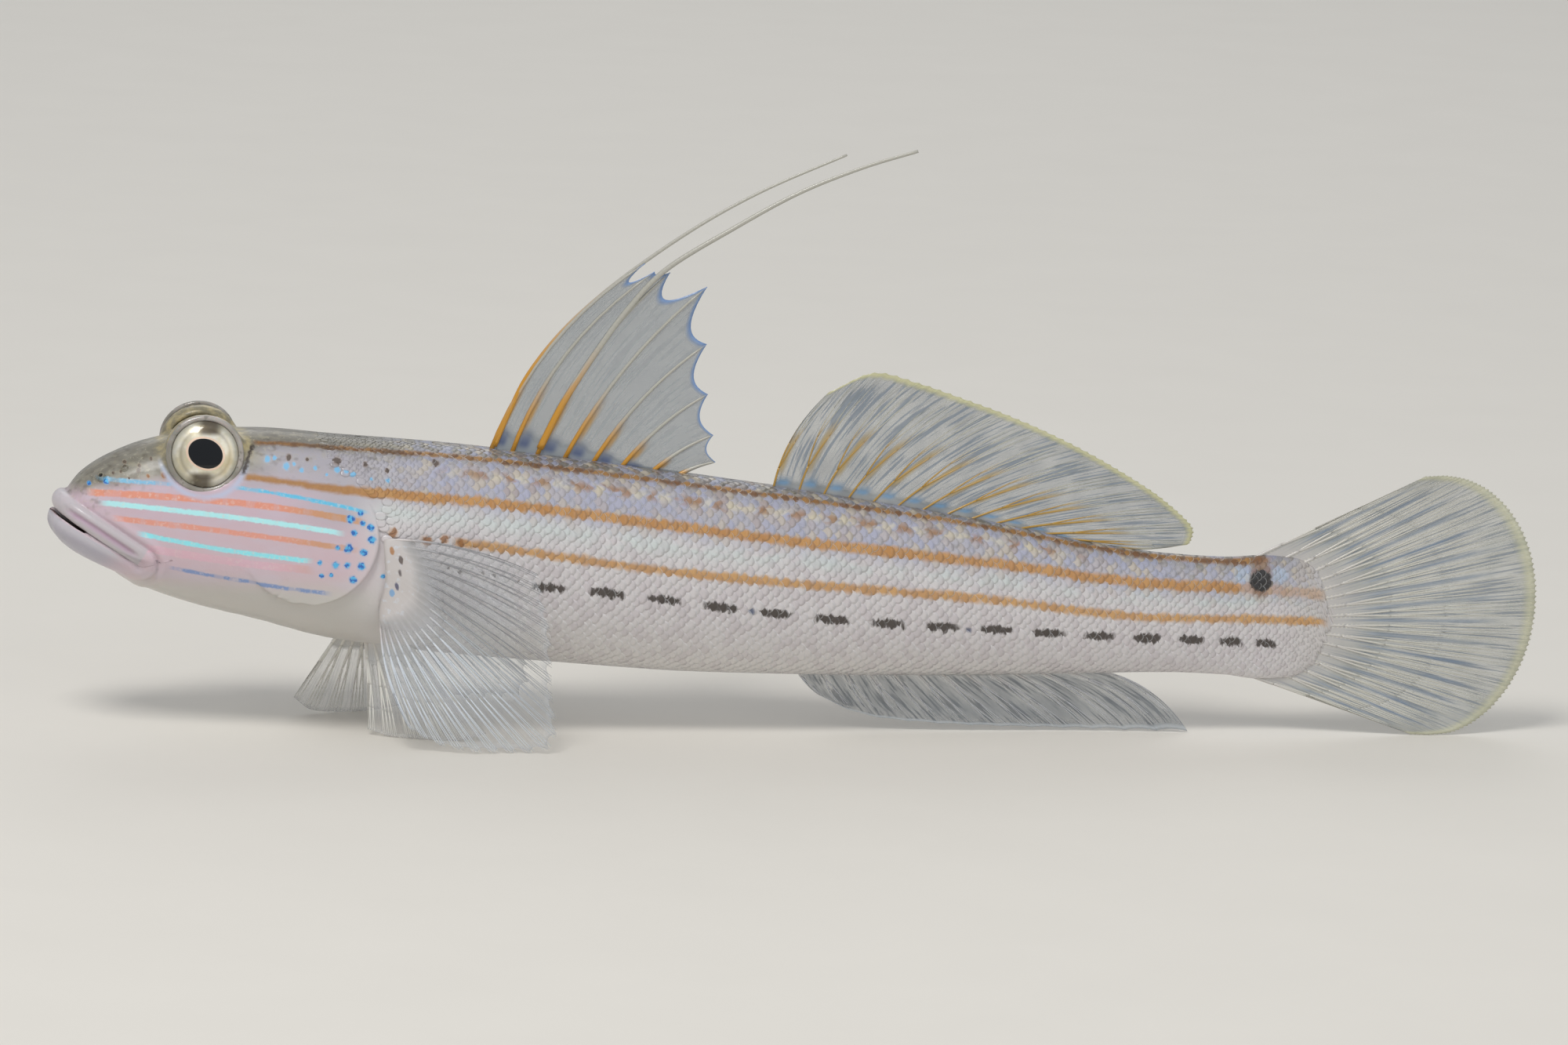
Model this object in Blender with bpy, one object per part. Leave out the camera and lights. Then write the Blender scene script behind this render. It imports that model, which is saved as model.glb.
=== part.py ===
# Longfin sleeper goby, a still model at life size, resting on its lower fins.
# The snout points along -X, the fish's left side faces -Y, and the floor is the plane z = 0.
# Dimensions are in millimetres and are turned into metres where a mesh is made.

import bpy
import bmesh
import numpy as np
from mathutils import Vector

MM = 0.001
GAP = 0.3                 # clearance between neighbouring pieces

# Body stations from snout to tail fin: place along the fish, back, belly, half width.
BODY = np.array([
    (-79.2, 22.60, 22.40, 0.15),
    (-78.9, 23.70, 21.20, 1.35),
    (-78.2, 25.00, 19.90, 2.60),
    (-76.5, 26.85, 18.40, 4.00),
    (-73.5, 28.65, 16.50, 5.05),
    (-69.5, 30.20, 14.80, 5.90),
    (-64.0, 31.25, 13.00, 6.70),
    (-58.0, 31.60, 11.60, 7.35),
    (-50.0, 31.05, 9.60, 7.90),
    (-40.0, 30.40, 8.30, 7.80),
    (-26.0, 29.05, 7.20, 7.15),
    (-10.0, 27.10, 6.25, 6.30),
    (5.0, 25.10, 6.05, 5.35),
    (20.0, 22.75, 6.20, 4.20),
    (32.0, 20.45, 6.45, 3.15),
    (40.0, 19.45, 6.60, 2.45),
    (46.0, 19.20, 6.40, 1.75),
    (50.0, 19.90, 5.60, 1.15),
])
SECTION_POWER = 2.3       # superellipse power of the body's cross section
HEAD_WIDEST = 0.42        # height of the greatest width on the head, as a share of its depth
TRUNK_WIDEST = 0.50
FLARE = 0.45              # the gill cover's edge stands this proud of the shoulder

TRUNK_END = -1.5          # the vent, where the trunk ends and the tail begins
TAIL_END = 49.4

# The gill cover's rear edge is an arc of an ellipse.
GILL_CENTRE = (-53.0, 21.5)
GILL_REACH = (7.2, 7.0)
GILL_TOP = (-47.0, 36.0)
GILL_BOTTOM = (-54.6, 4.0)

# The mouth slants down and back from the lip tips to the corner and is just open in front.
MOUTH_CORNER = (-69.2, 17.15)
MOUTH_SLOPE = -0.615
MOUTH_OPEN = 0.45
JAW_HINGE_FOOT = (-65.0, 6.0)
# Each lip: radius in front, radius at the corner and where its middle crosses in front.
UPPER_LIP = (1.15, 0.95, -78.15)
LOWER_LIP = (1.45, 0.85, -78.4)

EYE_CENTRE = (-63.75, 3.75, 29.7)
EYE_REACH = (3.65, 3.35, 3.55)
DOME_CENTRE = (-63.85, 3.25, 29.45)
DOME_REACH = (4.3, 2.75, 4.2)

NOSTRIL_FRONT = (-74.4, 26.6)
NOSTRIL_REAR = (-71.9, 27.9)
NOSTRIL_RADIUS = 0.42

MEMBRANE = 0.26           # half thickness of a fin's membrane
RAY = 0.50                # half thickness of a fin ray at its root
RAY_TIP = 0.32
FLOOR_SNAP = 0.35         # fin edges lower than this are brought down to the floor

# First dorsal fin rays: base, tip and how far the ray's pull point lies forward of a straight line.
FIRST_DORSAL = [
    ((-33.1, 30.1), (-18.0, 49.8), 4.4),
    ((-30.9, 29.9), (-16.9, 48.9), 4.2),
    ((-28.3, 29.6), (-15.2, 48.8), 3.2),
    ((-25.4, 29.2), (-11.2, 47.3), 2.6),
    ((-22.3, 28.8), (-11.0, 41.2), 2.0),
    ((-19.2, 28.4), (-10.7, 35.9), 1.3),
    ((-15.8, 28.0), (-10.0, 31.6), 0.7),
    ((-12.9, 27.6), (-9.7, 28.8), 0.3),
]
FIRST_DORSAL_SCALLOPS = [0.10, 0.02, 0.12, 0.085, 0.09, 0.10, 0.12]

# The two long threads of the first dorsal fin, as points that a smooth curve passes through.
FRONT_THREAD = [(-17.8, 50.05), (-11.7, 54.3), (-5.2, 58.0), (2.9, 61.7)]
REAR_THREAD = [(-15.6, 49.25), (-8.4, 53.8), (-1.9, 57.5), (4.7, 60.3), (10.5, 62.2)]
THREAD_ROOT = 0.42        # half thickness where a thread leaves the fin
THREAD_TIP = 0.17

SECOND_DORSAL_RAYS = 14
SECOND_DORSAL_BASE = (-3.0, 31.8)
SECOND_DORSAL_MARGIN = [(2.2, 36.5), (5.6, 38.3), (9.0, 38.3), (17.8, 35.5),
                        (30.9, 30.0), (37.2, 26.4), (41.0, 23.4), (42.3, 21.4)]
SECOND_DORSAL_BOW = (2.2, -1.0)

ANAL_RAYS = 13
ANAL_BASE = (0.4, 30.8)
ANAL_MARGIN = [(2.6, 3.6), (7.4, 1.6), (15.0, 0.8), (25.0, 0.35), (35.0, 0.0), (42.6, 0.0)]
ANAL_BOW = (0.5, 3.6)

CAUDAL_RAYS = 17
CAUDAL_ROOT = (49.7, 12.75, 6.55)      # place, middle height and half height of its base
CAUDAL_MARGIN = (68.5, 14.15, 11.5, 14.3)   # centre and half axes of the rounded rear edge
CAUDAL_POWER = 2.15       # a little squarer than an ellipse
CAUDAL_SWEEP = 97.0       # the margin's rays run from this angle above to this angle below
CAUDAL_PULL = (0.0, 0.0, -0.1)          # how the top ray bows, and the lowest the other way
CAUDAL_ROOT_HALF = 1.0

PECTORAL_RAYS = 15
PECTORAL_ROOT = [(-44.6, 21.4), (-44.1, 17.4), (-44.6, 13.2)]
# Tips of the pectoral rays: along the fish, out from the middle, height.
PECTORAL_MARGIN = [(-29.4, 10.8, 18.6), (-28.0, 11.8, 13.0), (-27.7, 12.6, 7.0), (-27.4, 13.0, 0.9),
                   (-33.0, 13.2, 0.0), (-38.5, 13.0, 0.8), (-42.4, 12.6, 2.4)]
PECTORAL_PULL_TOP = (0.0, 1.2, 2.2)         # how the first and the last ray bow, towards the same directions
PECTORAL_PULL_LOW = (-1.8, 1.2, 0.0)
PECTORAL_LOBE = 0.75      # half thickness of the fleshy lobe at the pectoral's root

PELVIC_RAYS = 6
# Pelvic fins, left then right: root places along the fish and out from the middle, then tips.
PELVICS = {
    "pelvic_fin_left": (-1, [(-46.2, 2.6), (-42.4, 3.8)],
                        [(-45.8, 4.8, 0.0), (-42.0, 6.4, 0.0), (-38.0, 7.4, 0.0), (-33.8, 7.6, 0.5)]),
    "pelvic_fin_right": (1, [(-48.2, 2.2), (-44.6, 3.4)],
                         [(-52.6, 4.2, 0.0), (-49.0, 6.0, 0.0), (-45.0, 7.2, 0.0), (-40.5, 7.6, 0.4)]),
}


def smooth_through(xs, ys, at):
    """A smooth curve through (xs, ys) that never overshoots: cubic pieces with limited slopes."""
    xs, ys, at = (np.asarray(values, float) for values in (xs, ys, at))
    step = np.diff(xs)
    rise = np.diff(ys) / step
    slope = np.empty_like(ys)
    slope[0] = rise[0]
    slope[-1] = rise[-1]
    before, after = rise[:-1], rise[1:]
    same_way = before * after > 0
    mean = 2 * before * after / np.where(same_way, before + after, 1)
    slope[1:-1] = np.where(same_way, mean, 0)
    cell = np.clip(np.searchsorted(xs, at) - 1, 0, len(xs) - 2)
    t = np.clip((at - xs[cell]) / step[cell], 0, 1)
    width = step[cell]
    return ((2 * t**3 - 3 * t**2 + 1) * ys[cell] + (t**3 - 2 * t**2 + t) * width * slope[cell]
            + (3 * t**2 - 2 * t**3) * ys[cell + 1] + (t**3 - t**2) * width * slope[cell + 1])


def path_through(points, shares):
    """Places at these shares of the length of a smooth curve through a few points."""
    points = np.asarray(points, float)
    run = np.concatenate([[0], np.cumsum(np.linalg.norm(np.diff(points, axis=0), axis=1))])
    fine = np.linspace(0, run[-1], 200)
    # Catmull-Rom slopes, so that the curve turns evenly through each point.
    slopes = np.gradient(points, run, axis=0)
    cell = np.clip(np.searchsorted(run, fine) - 1, 0, len(run) - 2)
    width = (run[cell + 1] - run[cell])[:, None]
    t = ((fine - run[cell]) / width[:, 0])[:, None]
    curve = ((2 * t**3 - 3 * t**2 + 1) * points[cell] + (t**3 - 2 * t**2 + t) * width * slopes[cell]
             + (3 * t**2 - 2 * t**3) * points[cell + 1] + (t**3 - t**2) * width * slopes[cell + 1])
    length = np.concatenate([[0], np.cumsum(np.linalg.norm(np.diff(curve, axis=0), axis=1))])
    at = np.asarray(shares, float) * length[-1]
    return np.stack([np.interp(at, length, curve[:, axis]) for axis in range(points.shape[1])], axis=-1)


def body_size(x):
    """Back height, belly height, half width and height of the greatest width at x."""
    back, belly, half = (smooth_through(BODY[:, 0], BODY[:, column], x) for column in (1, 2, 3))
    share = smooth_through((-80, -60, -30), (HEAD_WIDEST, HEAD_WIDEST, TRUNK_WIDEST), x)
    return back, belly, half, belly + share * (back - belly)


def body_side(x, z):
    """How far the body's skin is from the middle plane at a place seen from the side."""
    back, belly, half, middle = body_size(x)
    reach = np.where(z > middle, back - middle, middle - belly)
    inside = np.clip(1 - np.abs((z - middle) / reach) ** SECTION_POWER, 0, 1)
    return half * inside ** (1 / SECTION_POWER)


def body_rings(xs, columns, flare=0.0):
    """Cross sections of the body, one row of points each, as superellipses."""
    xs = np.asarray(xs, float)[:, None]
    angle = np.linspace(0, 2 * np.pi, columns, endpoint=False)[None, :]
    back, belly, half, middle = body_size(xs)
    half = half + flare * np.clip((xs + 58) / 12, 0, 1) ** 2
    across = np.sign(np.cos(angle)) * np.abs(np.cos(angle)) ** (2 / SECTION_POWER)
    up = np.sign(np.sin(angle)) * np.abs(np.sin(angle)) ** (2 / SECTION_POWER)
    reach = np.where(up > 0, back - middle, middle - belly)
    return np.stack([xs + 0 * angle, half * across, middle + reach * up], axis=-1)


def new_object(name, points, faces, collection):
    mesh = bpy.data.meshes.new(name)
    mesh.from_pydata((np.asarray(points) * MM).tolist(), [], faces)
    mesh.validate()
    mesh.update()
    thing = bpy.data.objects.new(name, mesh)
    collection.objects.link(thing)
    return thing


def face_outward(thing):
    shape = bmesh.new()
    shape.from_mesh(thing.data)
    bmesh.ops.recalc_face_normals(shape, faces=shape.faces)
    shape.to_mesh(thing.data)
    shape.free()
    return thing


def loft(name, rings, collection):
    """A closed skin through rings of points, with a flat cap at each end."""
    rows, columns, _ = rings.shape
    faces = []
    for row in range(rows - 1):
        for column in range(columns):
            following = (column + 1) % columns
            here, there = row * columns, (row + 1) * columns
            faces.append((here + column, here + following, there + following, there + column))
    faces.append(tuple(range(columns)))
    faces.append(tuple(range((rows - 1) * columns, rows * columns)))
    return face_outward(new_object(name, rings.reshape(-1, 3), faces, collection))


def ellipsoid(name, centre, reach, collection, segments=32, rings=16):
    """A ball stretched along the axes, with its poles pointing sideways."""
    shape = bmesh.new()
    bmesh.ops.create_uvsphere(shape, u_segments=segments, v_segments=rings, radius=1)
    for vert in shape.verts:
        x, y, z = vert.co
        vert.co = Vector((centre[0] + reach[0] * x, centre[1] + reach[1] * z, centre[2] - reach[2] * y)) * MM
    mesh = bpy.data.meshes.new(name)
    shape.to_mesh(mesh)
    shape.free()
    thing = bpy.data.objects.new(name, mesh)
    collection.objects.link(thing)
    return thing


def prism(name, outline, half_width, collection):
    """A side outline carried across the fish."""
    count = len(outline)
    points = [(x, y, z) for y in (-half_width, half_width) for x, z in outline]
    faces = [tuple(range(count)), tuple(range(count, 2 * count))]
    for corner in range(count):
        following = (corner + 1) % count
        faces.append((corner, following, count + following, count + corner))
    return face_outward(new_object(name, points, faces, collection))


def tube(name, path, radii, collection, sides=8):
    """A round bar along a path, thinning as its radii say, with flat ends."""
    path = np.asarray(path, float)
    radii = np.asarray(radii, float)[:, None, None]
    along = np.gradient(path, axis=0)
    along /= np.linalg.norm(along, axis=1)[:, None]
    first = np.cross(along, (0.0, 0.31, 0.95) if abs(along[0, 1]) < 0.5 else (1.0, 0.0, 0.1))
    first /= np.linalg.norm(first, axis=1)[:, None]
    second = np.cross(along, first)
    angle = np.linspace(0, 2 * np.pi, sides, endpoint=False)[None, :, None]
    rings = path[:, None] + radii * (np.cos(angle) * first[:, None] + np.sin(angle) * second[:, None])
    return loft(name, rings, collection)


def fin_solid(name, middle, half, collection, normal_side=None):
    """A thin solid on both sides of a curved grid, split into the same triangles on both faces."""
    rows, columns, _ = middle.shape
    if normal_side is None:
        normal = np.cross(np.gradient(middle, axis=0), np.gradient(middle, axis=1))
        normal /= np.linalg.norm(normal, axis=-1, keepdims=True)
    else:
        normal = np.broadcast_to(np.asarray(normal_side, float), middle.shape)
    near = middle + normal * half[..., None]
    far = middle - normal * half[..., None]
    points = np.concatenate([near.reshape(-1, 3), far.reshape(-1, 3)])
    on_floor = np.tile(middle[..., 2].reshape(-1) <= FLOOR_SNAP, 2)
    points[:, 2] = np.where(on_floor, 0, np.maximum(points[:, 2], 0))
    count = rows * columns
    index = np.arange(count).reshape(rows, columns)
    a, b, c, d = index[:-1, :-1], index[1:, :-1], index[1:, 1:], index[:-1, 1:]
    split = np.concatenate([np.stack(triple, axis=-1).reshape(-1, 3) for triple in ((a, b, c), (a, c, d))])
    rim = np.concatenate([index[0, :-1], index[:-1, -1], index[-1, :0:-1], index[:0:-1, 0]])
    after = np.roll(rim, -1)
    side = np.concatenate([
        np.stack([rim, after, after + count], axis=-1),
        np.stack([rim, after + count, rim + count], axis=-1),
    ])
    faces = np.concatenate([split, split[:, ::-1] + count, side])
    return face_outward(new_object(name, points, faces.tolist(), collection))


def rays_grid(bases, tips, pulls, rows, scallops):
    """A fin's grid: a column along each ray and one between neighbours, which ends short of the tips.

    Each ray is a parabola from base to tip whose pull point is the middle of that line moved by its pull.
    """
    v = np.linspace(0, 1, rows)[:, None]
    control = (bases + tips) / 2 + pulls

    def along(share):
        return ((1 - share) ** 2)[..., None] * bases + (2 * share * (1 - share))[..., None] * control \
            + (share**2)[..., None] * tips

    rays = along(v + 0 * bases[:, 0])
    count = len(bases)
    webs_at = v * (1 - np.asarray(scallops, float)[None, :])
    left = along(np.concatenate([webs_at, webs_at[:, -1:]], axis=1))[:, :-1]
    right = along(np.concatenate([webs_at[:, :1], webs_at], axis=1))[:, 1:]
    grid = np.empty((rows, 2 * count - 1, 3))
    grid[:, 0::2] = rays
    grid[:, 1::2] = (left + right) / 2
    return grid


def rays_thickness(rows, rays, lobe=0.0, lobe_share=0.3):
    """Half thickness of a fin: ridges along the rays, thin membrane between, a thicker lobe at the root."""
    v = np.linspace(0, 1, rows)[:, None]
    half = np.empty((rows, 2 * rays - 1))
    half[:, 0::2] = RAY + (RAY_TIP - RAY) * v
    half[:, 1::2] = MEMBRANE
    return np.maximum(half, lobe * np.clip(1 - v / lobe_share, 0, 1) ** 0.5)


def side_points(pairs):
    """Points in the middle plane from their places along the fish and heights."""
    pairs = np.asarray(pairs, float)
    return np.stack([pairs[:, 0], 0 * pairs[:, 0], pairs[:, 1]], axis=-1)


def forward_of(bases, tips):
    """The direction in the middle plane that is square to each ray, towards its upper or front side."""
    way = tips - bases
    way = np.stack([-way[:, 2], 0 * way[:, 0], way[:, 0]], axis=-1)
    return way / np.linalg.norm(way, axis=1)[:, None]


def join(name, pieces, collection):
    """One closed solid from overlapping pieces."""
    group = bpy.data.collections.new(name + "_pieces")
    first, *others = pieces
    for piece in others:
        group.objects.link(piece)
    add_boolean(first, "UNION", collection=group)
    apply_modifiers(first)
    for piece in others:
        bpy.data.objects.remove(piece)
    bpy.data.collections.remove(group)
    first.name = name
    return first


def add_boolean(thing, operation, cutter=None, collection=None):
    boolean = thing.modifiers.new(operation.lower(), "BOOLEAN")
    boolean.operation = operation
    boolean.solver = "EXACT"
    if collection is None:
        boolean.object = cutter
    else:
        boolean.operand_type = "COLLECTION"
        boolean.collection = collection


def apply_modifiers(thing):
    """Bakes the modifiers into the mesh and keeps only its largest closed surface."""
    graph = bpy.context.evaluated_depsgraph_get()
    graph.update()
    mesh = bpy.data.meshes.new_from_object(thing.evaluated_get(graph))
    thing.modifiers.clear()
    thing.data = mesh
    shape = bmesh.new()
    shape.from_mesh(mesh)
    shells = []
    unseen = set(shape.verts)
    while unseen:
        shell, border = set(), [unseen.pop()]
        while border:
            vert = border.pop()
            shell.add(vert)
            for edge in vert.link_edges:
                other = edge.other_vert(vert)
                if other in unseen:
                    unseen.remove(other)
                    border.append(other)
        shells.append(shell)
    largest = max(shells, key=len)
    bmesh.ops.delete(shape, geom=[vert for vert in shape.verts if vert not in largest], context="VERTS")
    shape.to_mesh(mesh)
    shape.free()


def gill_line(grow):
    """The gill cover's rear edge from the nape to the throat, moved back by grow."""
    angle = np.radians(np.linspace(46, -90, 12))
    xs = GILL_CENTRE[0] + (GILL_REACH[0] + grow) * np.cos(angle)
    zs = GILL_CENTRE[1] + (GILL_REACH[1] + grow) * np.sin(angle)
    top = (GILL_TOP[0] + grow, GILL_TOP[1])
    bottom = (GILL_BOTTOM[0], GILL_BOTTOM[1] - grow)
    return [top, *zip(xs.tolist(), zs.tolist()), bottom]


def mouth_height(x, offset=0.0):
    """Height of the mouth line, or of a line this far above it."""
    return MOUTH_CORNER[1] + MOUTH_SLOPE * (x - MOUTH_CORNER[0]) + offset * np.hypot(1, MOUTH_SLOPE)


def lip(name, sizes, side, opening, collection):
    """A rounded band round the snout, set into the skin along the mouth from corner to corner."""
    front_radius, corner_radius, front = sizes
    corner = MOUTH_CORNER[0] - 0.5
    turn = np.linspace(0, 1, 11)
    radii = corner_radius + (front_radius - corner_radius) * turn**1.5
    xs = corner + (front - corner) * np.sin(turn * np.pi / 2)
    zs = mouth_height(xs, side * (radii + 0.06) + opening * turn)
    ys = body_side(xs, zs) - 0.35
    ys = np.maximum(ys, 0) * np.sqrt(np.clip((xs - front) / 1.2, 0, 1))
    left = np.stack([xs, -ys, zs], axis=-1)
    right = np.stack([xs, ys, zs], axis=-1)
    path = np.concatenate([left, right[-2::-1]])
    radii = radii * (0.6 + 0.4 * np.minimum(1, 5 * turn))
    return tube(name, path, np.concatenate([radii, radii[-2::-1]]), collection, sides=10)


def build_head(parts, cutters):
    """The head with its upper lip, eye domes and nostrils, and the lower jaw that is parted from it."""
    places = -79.2 + 37.0 * np.linspace(0, 1, 27) ** 1.6
    core = loft("head", body_rings(places, 44, FLARE), parts)
    domes = [
        ellipsoid("dome", (DOME_CENTRE[0], side * DOME_CENTRE[1], DOME_CENTRE[2]), DOME_REACH, parts)
        for side in (-1, 1)
    ]
    upper = lip("upper_lip", UPPER_LIP, 1, MOUTH_OPEN, parts)
    lower = lip("lower_lip", LOWER_LIP, -1, 0.0, parts)
    rims = []
    for side in (-1, 1):
        x, z = NOSTRIL_FRONT
        y = float(body_side(x, z))
        rims.append(tube("rim", [(x, side * (y - 0.8), z - 0.4), (x - 0.1, side * (y + 0.45), z + 0.35)],
                         [NOSTRIL_RADIUS + 0.4, NOSTRIL_RADIUS + 0.2], parts, sides=10))
    head = join("head", [core, *domes, upper, lower, *rims], parts)

    behind = gill_line(0) + [(-30.0, GILL_BOTTOM[1]), (-30.0, GILL_TOP[1])]
    add_boolean(head, "DIFFERENCE", prism("behind_gills", behind, 20, cutters))
    for side in (-1, 1):
        centre = (EYE_CENTRE[0], side * EYE_CENTRE[1], EYE_CENTRE[2])
        reach = tuple(size + GAP for size in EYE_REACH)
        add_boolean(head, "DIFFERENCE", ellipsoid("eye_socket", centre, reach, cutters))
        for x, z in (NOSTRIL_FRONT, NOSTRIL_REAR):
            y = float(body_side(x, z))
            pit = tube("nostril_pit", [(x, side * (y - 0.9), z - 0.5), (x, side * (y + 1.5), z + 1.0)],
                       [NOSTRIL_RADIUS, NOSTRIL_RADIUS], cutters)
            add_boolean(head, "DIFFERENCE", pit)
    apply_modifiers(head)

    jaw = head.copy()
    jaw.data = head.data.copy()
    jaw.name = "lower_jaw"
    parts.objects.link(jaw)
    front = -86.0
    rise = MOUTH_OPEN * (MOUTH_CORNER[0] - front) / 9.0
    above = [(front, mouth_height(front) + rise), MOUTH_CORNER, JAW_HINGE_FOOT, (front, JAW_HINGE_FOOT[1])]
    below = [(front, mouth_height(front) - GAP / 2), (MOUTH_CORNER[0] - 0.24, MOUTH_CORNER[1] - 0.2),
             (JAW_HINGE_FOOT[0] - 0.3, JAW_HINGE_FOOT[1]), (front, JAW_HINGE_FOOT[1])]
    add_boolean(head, "DIFFERENCE", prism("mouth_cut", above, 20, cutters))
    add_boolean(jaw, "INTERSECT", prism("jaw_block", below, 20, cutters))
    apply_modifiers(head)
    apply_modifiers(jaw)


def build_trunk(parts, cutters):
    places = np.concatenate([np.linspace(-58, -42, 7), np.linspace(-38, TRUNK_END - GAP / 2, 11)])
    trunk = loft("trunk", body_rings(places, 44), parts)
    ahead = gill_line(GAP) + [(-70.0, GILL_BOTTOM[1] - GAP), (-70.0, GILL_TOP[1])]
    add_boolean(trunk, "DIFFERENCE", prism("ahead_of_gills", ahead, 20, cutters))
    apply_modifiers(trunk)


def build_tail(parts):
    places = np.linspace(TRUNK_END + GAP / 2, TAIL_END, 17)
    loft("tail", body_rings(places, 32), parts)


def build_eyes(parts):
    for name, side in (("eye_left", -1), ("eye_right", 1)):
        centre = (EYE_CENTRE[0], side * EYE_CENTRE[1], EYE_CENTRE[2])
        ellipsoid(name, centre, EYE_REACH, parts)


def build_first_dorsal(parts):
    rows = 9
    bases = side_points([base for base, _, _ in FIRST_DORSAL])
    bases[:, 2] = body_size(bases[:, 0])[0] + GAP
    tips = side_points([tip for _, tip, _ in FIRST_DORSAL])
    pulls = np.array([[pull] for _, _, pull in FIRST_DORSAL]) * forward_of(bases, tips)
    grid = rays_grid(bases, tips, pulls, rows, FIRST_DORSAL_SCALLOPS)
    grid[0, :, 2] = body_size(grid[0, :, 0])[0] + GAP
    half = rays_thickness(rows, len(FIRST_DORSAL))
    fin_solid("first_dorsal_fin", grid, half, parts, normal_side=(0, 1, 0))
    for name, points in (("dorsal_filament_front", FRONT_THREAD), ("dorsal_filament_rear", REAR_THREAD)):
        share = np.linspace(0, 1, 12)
        path = side_points(path_through(points, share))
        tube(name, path, THREAD_ROOT + (THREAD_TIP - THREAD_ROOT) * share, parts, sides=6)


def build_second_dorsal(parts):
    rows = 7
    share = np.linspace(0, 1, SECOND_DORSAL_RAYS)
    places = SECOND_DORSAL_BASE[0] + (SECOND_DORSAL_BASE[1] - SECOND_DORSAL_BASE[0]) * share
    bases = np.stack([places, 0 * places, body_size(places)[0] + GAP], axis=-1)
    tips = side_points(path_through(SECOND_DORSAL_MARGIN, share))
    first, last = SECOND_DORSAL_BOW
    pulls = (first + (last - first) * share**2)[:, None] * forward_of(bases, tips)
    grid = rays_grid(bases, tips, pulls, rows, np.full(SECOND_DORSAL_RAYS - 1, 0.02))
    grid[0, :, 2] = body_size(grid[0, :, 0])[0] + GAP
    fin_solid("second_dorsal_fin", grid, rays_thickness(rows, SECOND_DORSAL_RAYS), parts, normal_side=(0, 1, 0))


def build_anal(parts):
    rows = 6
    share = np.linspace(0, 1, ANAL_RAYS)
    places = ANAL_BASE[0] + (ANAL_BASE[1] - ANAL_BASE[0]) * share
    bases = np.stack([places, 0 * places, body_size(places)[1] - GAP], axis=-1)
    tips = side_points(path_through(ANAL_MARGIN, share))
    first, last = ANAL_BOW
    pulls = (last * share**4 - first * (1 - share))[:, None] * forward_of(bases, tips)
    grid = rays_grid(bases, tips, pulls, rows, np.full(ANAL_RAYS - 1, 0.02))
    grid[0, :, 2] = body_size(grid[0, :, 0])[1] - GAP
    fin_solid("anal_fin", grid, rays_thickness(rows, ANAL_RAYS), parts, normal_side=(0, 1, 0))


def build_caudal(parts):
    rows = 9
    share = np.linspace(0, 1, CAUDAL_RAYS)
    place, height, reach = CAUDAL_ROOT
    angle = np.radians(CAUDAL_SWEEP) * (1 - 2 * share)
    centre_x, centre_z, half_x, half_z = CAUDAL_MARGIN
    across, up = np.cos(angle), np.sin(angle)
    reach = (np.abs(across) ** CAUDAL_POWER + np.abs(up) ** CAUDAL_POWER) ** (-1 / CAUDAL_POWER)
    tips = np.stack([centre_x + half_x * across * reach, 0 * angle, centre_z + half_z * up * reach], axis=-1)
    tips[:, 2] = np.maximum(tips[:, 2], 0)
    bases = np.stack([place + 0 * share, 0 * share, height + reach * (1 - 2 * share)], axis=-1)
    pulls = (1 - 2 * share)[:, None] * np.array(CAUDAL_PULL)
    grid = rays_grid(bases, tips, pulls, rows, np.full(CAUDAL_RAYS - 1, 0.012))
    half = rays_thickness(rows, CAUDAL_RAYS, lobe=CAUDAL_ROOT_HALF, lobe_share=0.4)
    # The lobe thins to the membrane's own thickness at the fin's upper and lower edge.
    edge = np.abs(np.linspace(-1, 1, 2 * CAUDAL_RAYS - 1))[None, :] ** 4
    half += (rays_thickness(rows, CAUDAL_RAYS) - half) * edge
    fin_solid("caudal_fin", grid, half, parts, normal_side=(0, 1, 0))


def build_pectorals(parts):
    rows = 8
    share = np.linspace(0, 1, PECTORAL_RAYS)
    root = path_through(PECTORAL_ROOT, share)
    for name, side in (("pectoral_fin_left", -1), ("pectoral_fin_right", 1)):
        out = body_side(root[:, 0], root[:, 1]) + GAP + PECTORAL_LOBE
        bases = np.stack([root[:, 0], out, root[:, 1]], axis=-1)
        tips = path_through(PECTORAL_MARGIN, share)
        top, low = np.array(PECTORAL_PULL_TOP), np.array(PECTORAL_PULL_LOW)
        pulls = top + (low - top) * share[:, None]
        grid = rays_grid(bases, tips, pulls, rows, np.full(PECTORAL_RAYS - 1, 0.02))
        grid[..., 1] *= side
        fin_solid(name, grid, rays_thickness(rows, PECTORAL_RAYS, lobe=PECTORAL_LOBE), parts)


def build_pelvics(parts):
    rows = 6
    share = np.linspace(0, 1, PELVIC_RAYS)
    for name, (side, root, margin) in PELVICS.items():
        along = path_through(root, share)
        belly = belly_height(along[:, 0], along[:, 1])
        bases = np.stack([along[:, 0], along[:, 1], belly - GAP - 0.2], axis=-1)
        tips = path_through(margin, share)
        grid = rays_grid(bases, tips, np.array([0.2, 0.8, 0.2]), rows, np.full(PELVIC_RAYS - 1, 0.0))
        grid[..., 1] *= side
        fin_solid(name, grid, rays_thickness(rows, PELVIC_RAYS), parts)


def belly_height(x, y):
    """Height of the belly's skin at a place seen from below."""
    _, belly, half, middle = body_size(x)
    inside = np.clip(1 - np.abs(y / half) ** SECTION_POWER, 0, 1)
    return middle - (middle - belly) * inside ** (1 / SECTION_POWER)


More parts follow.
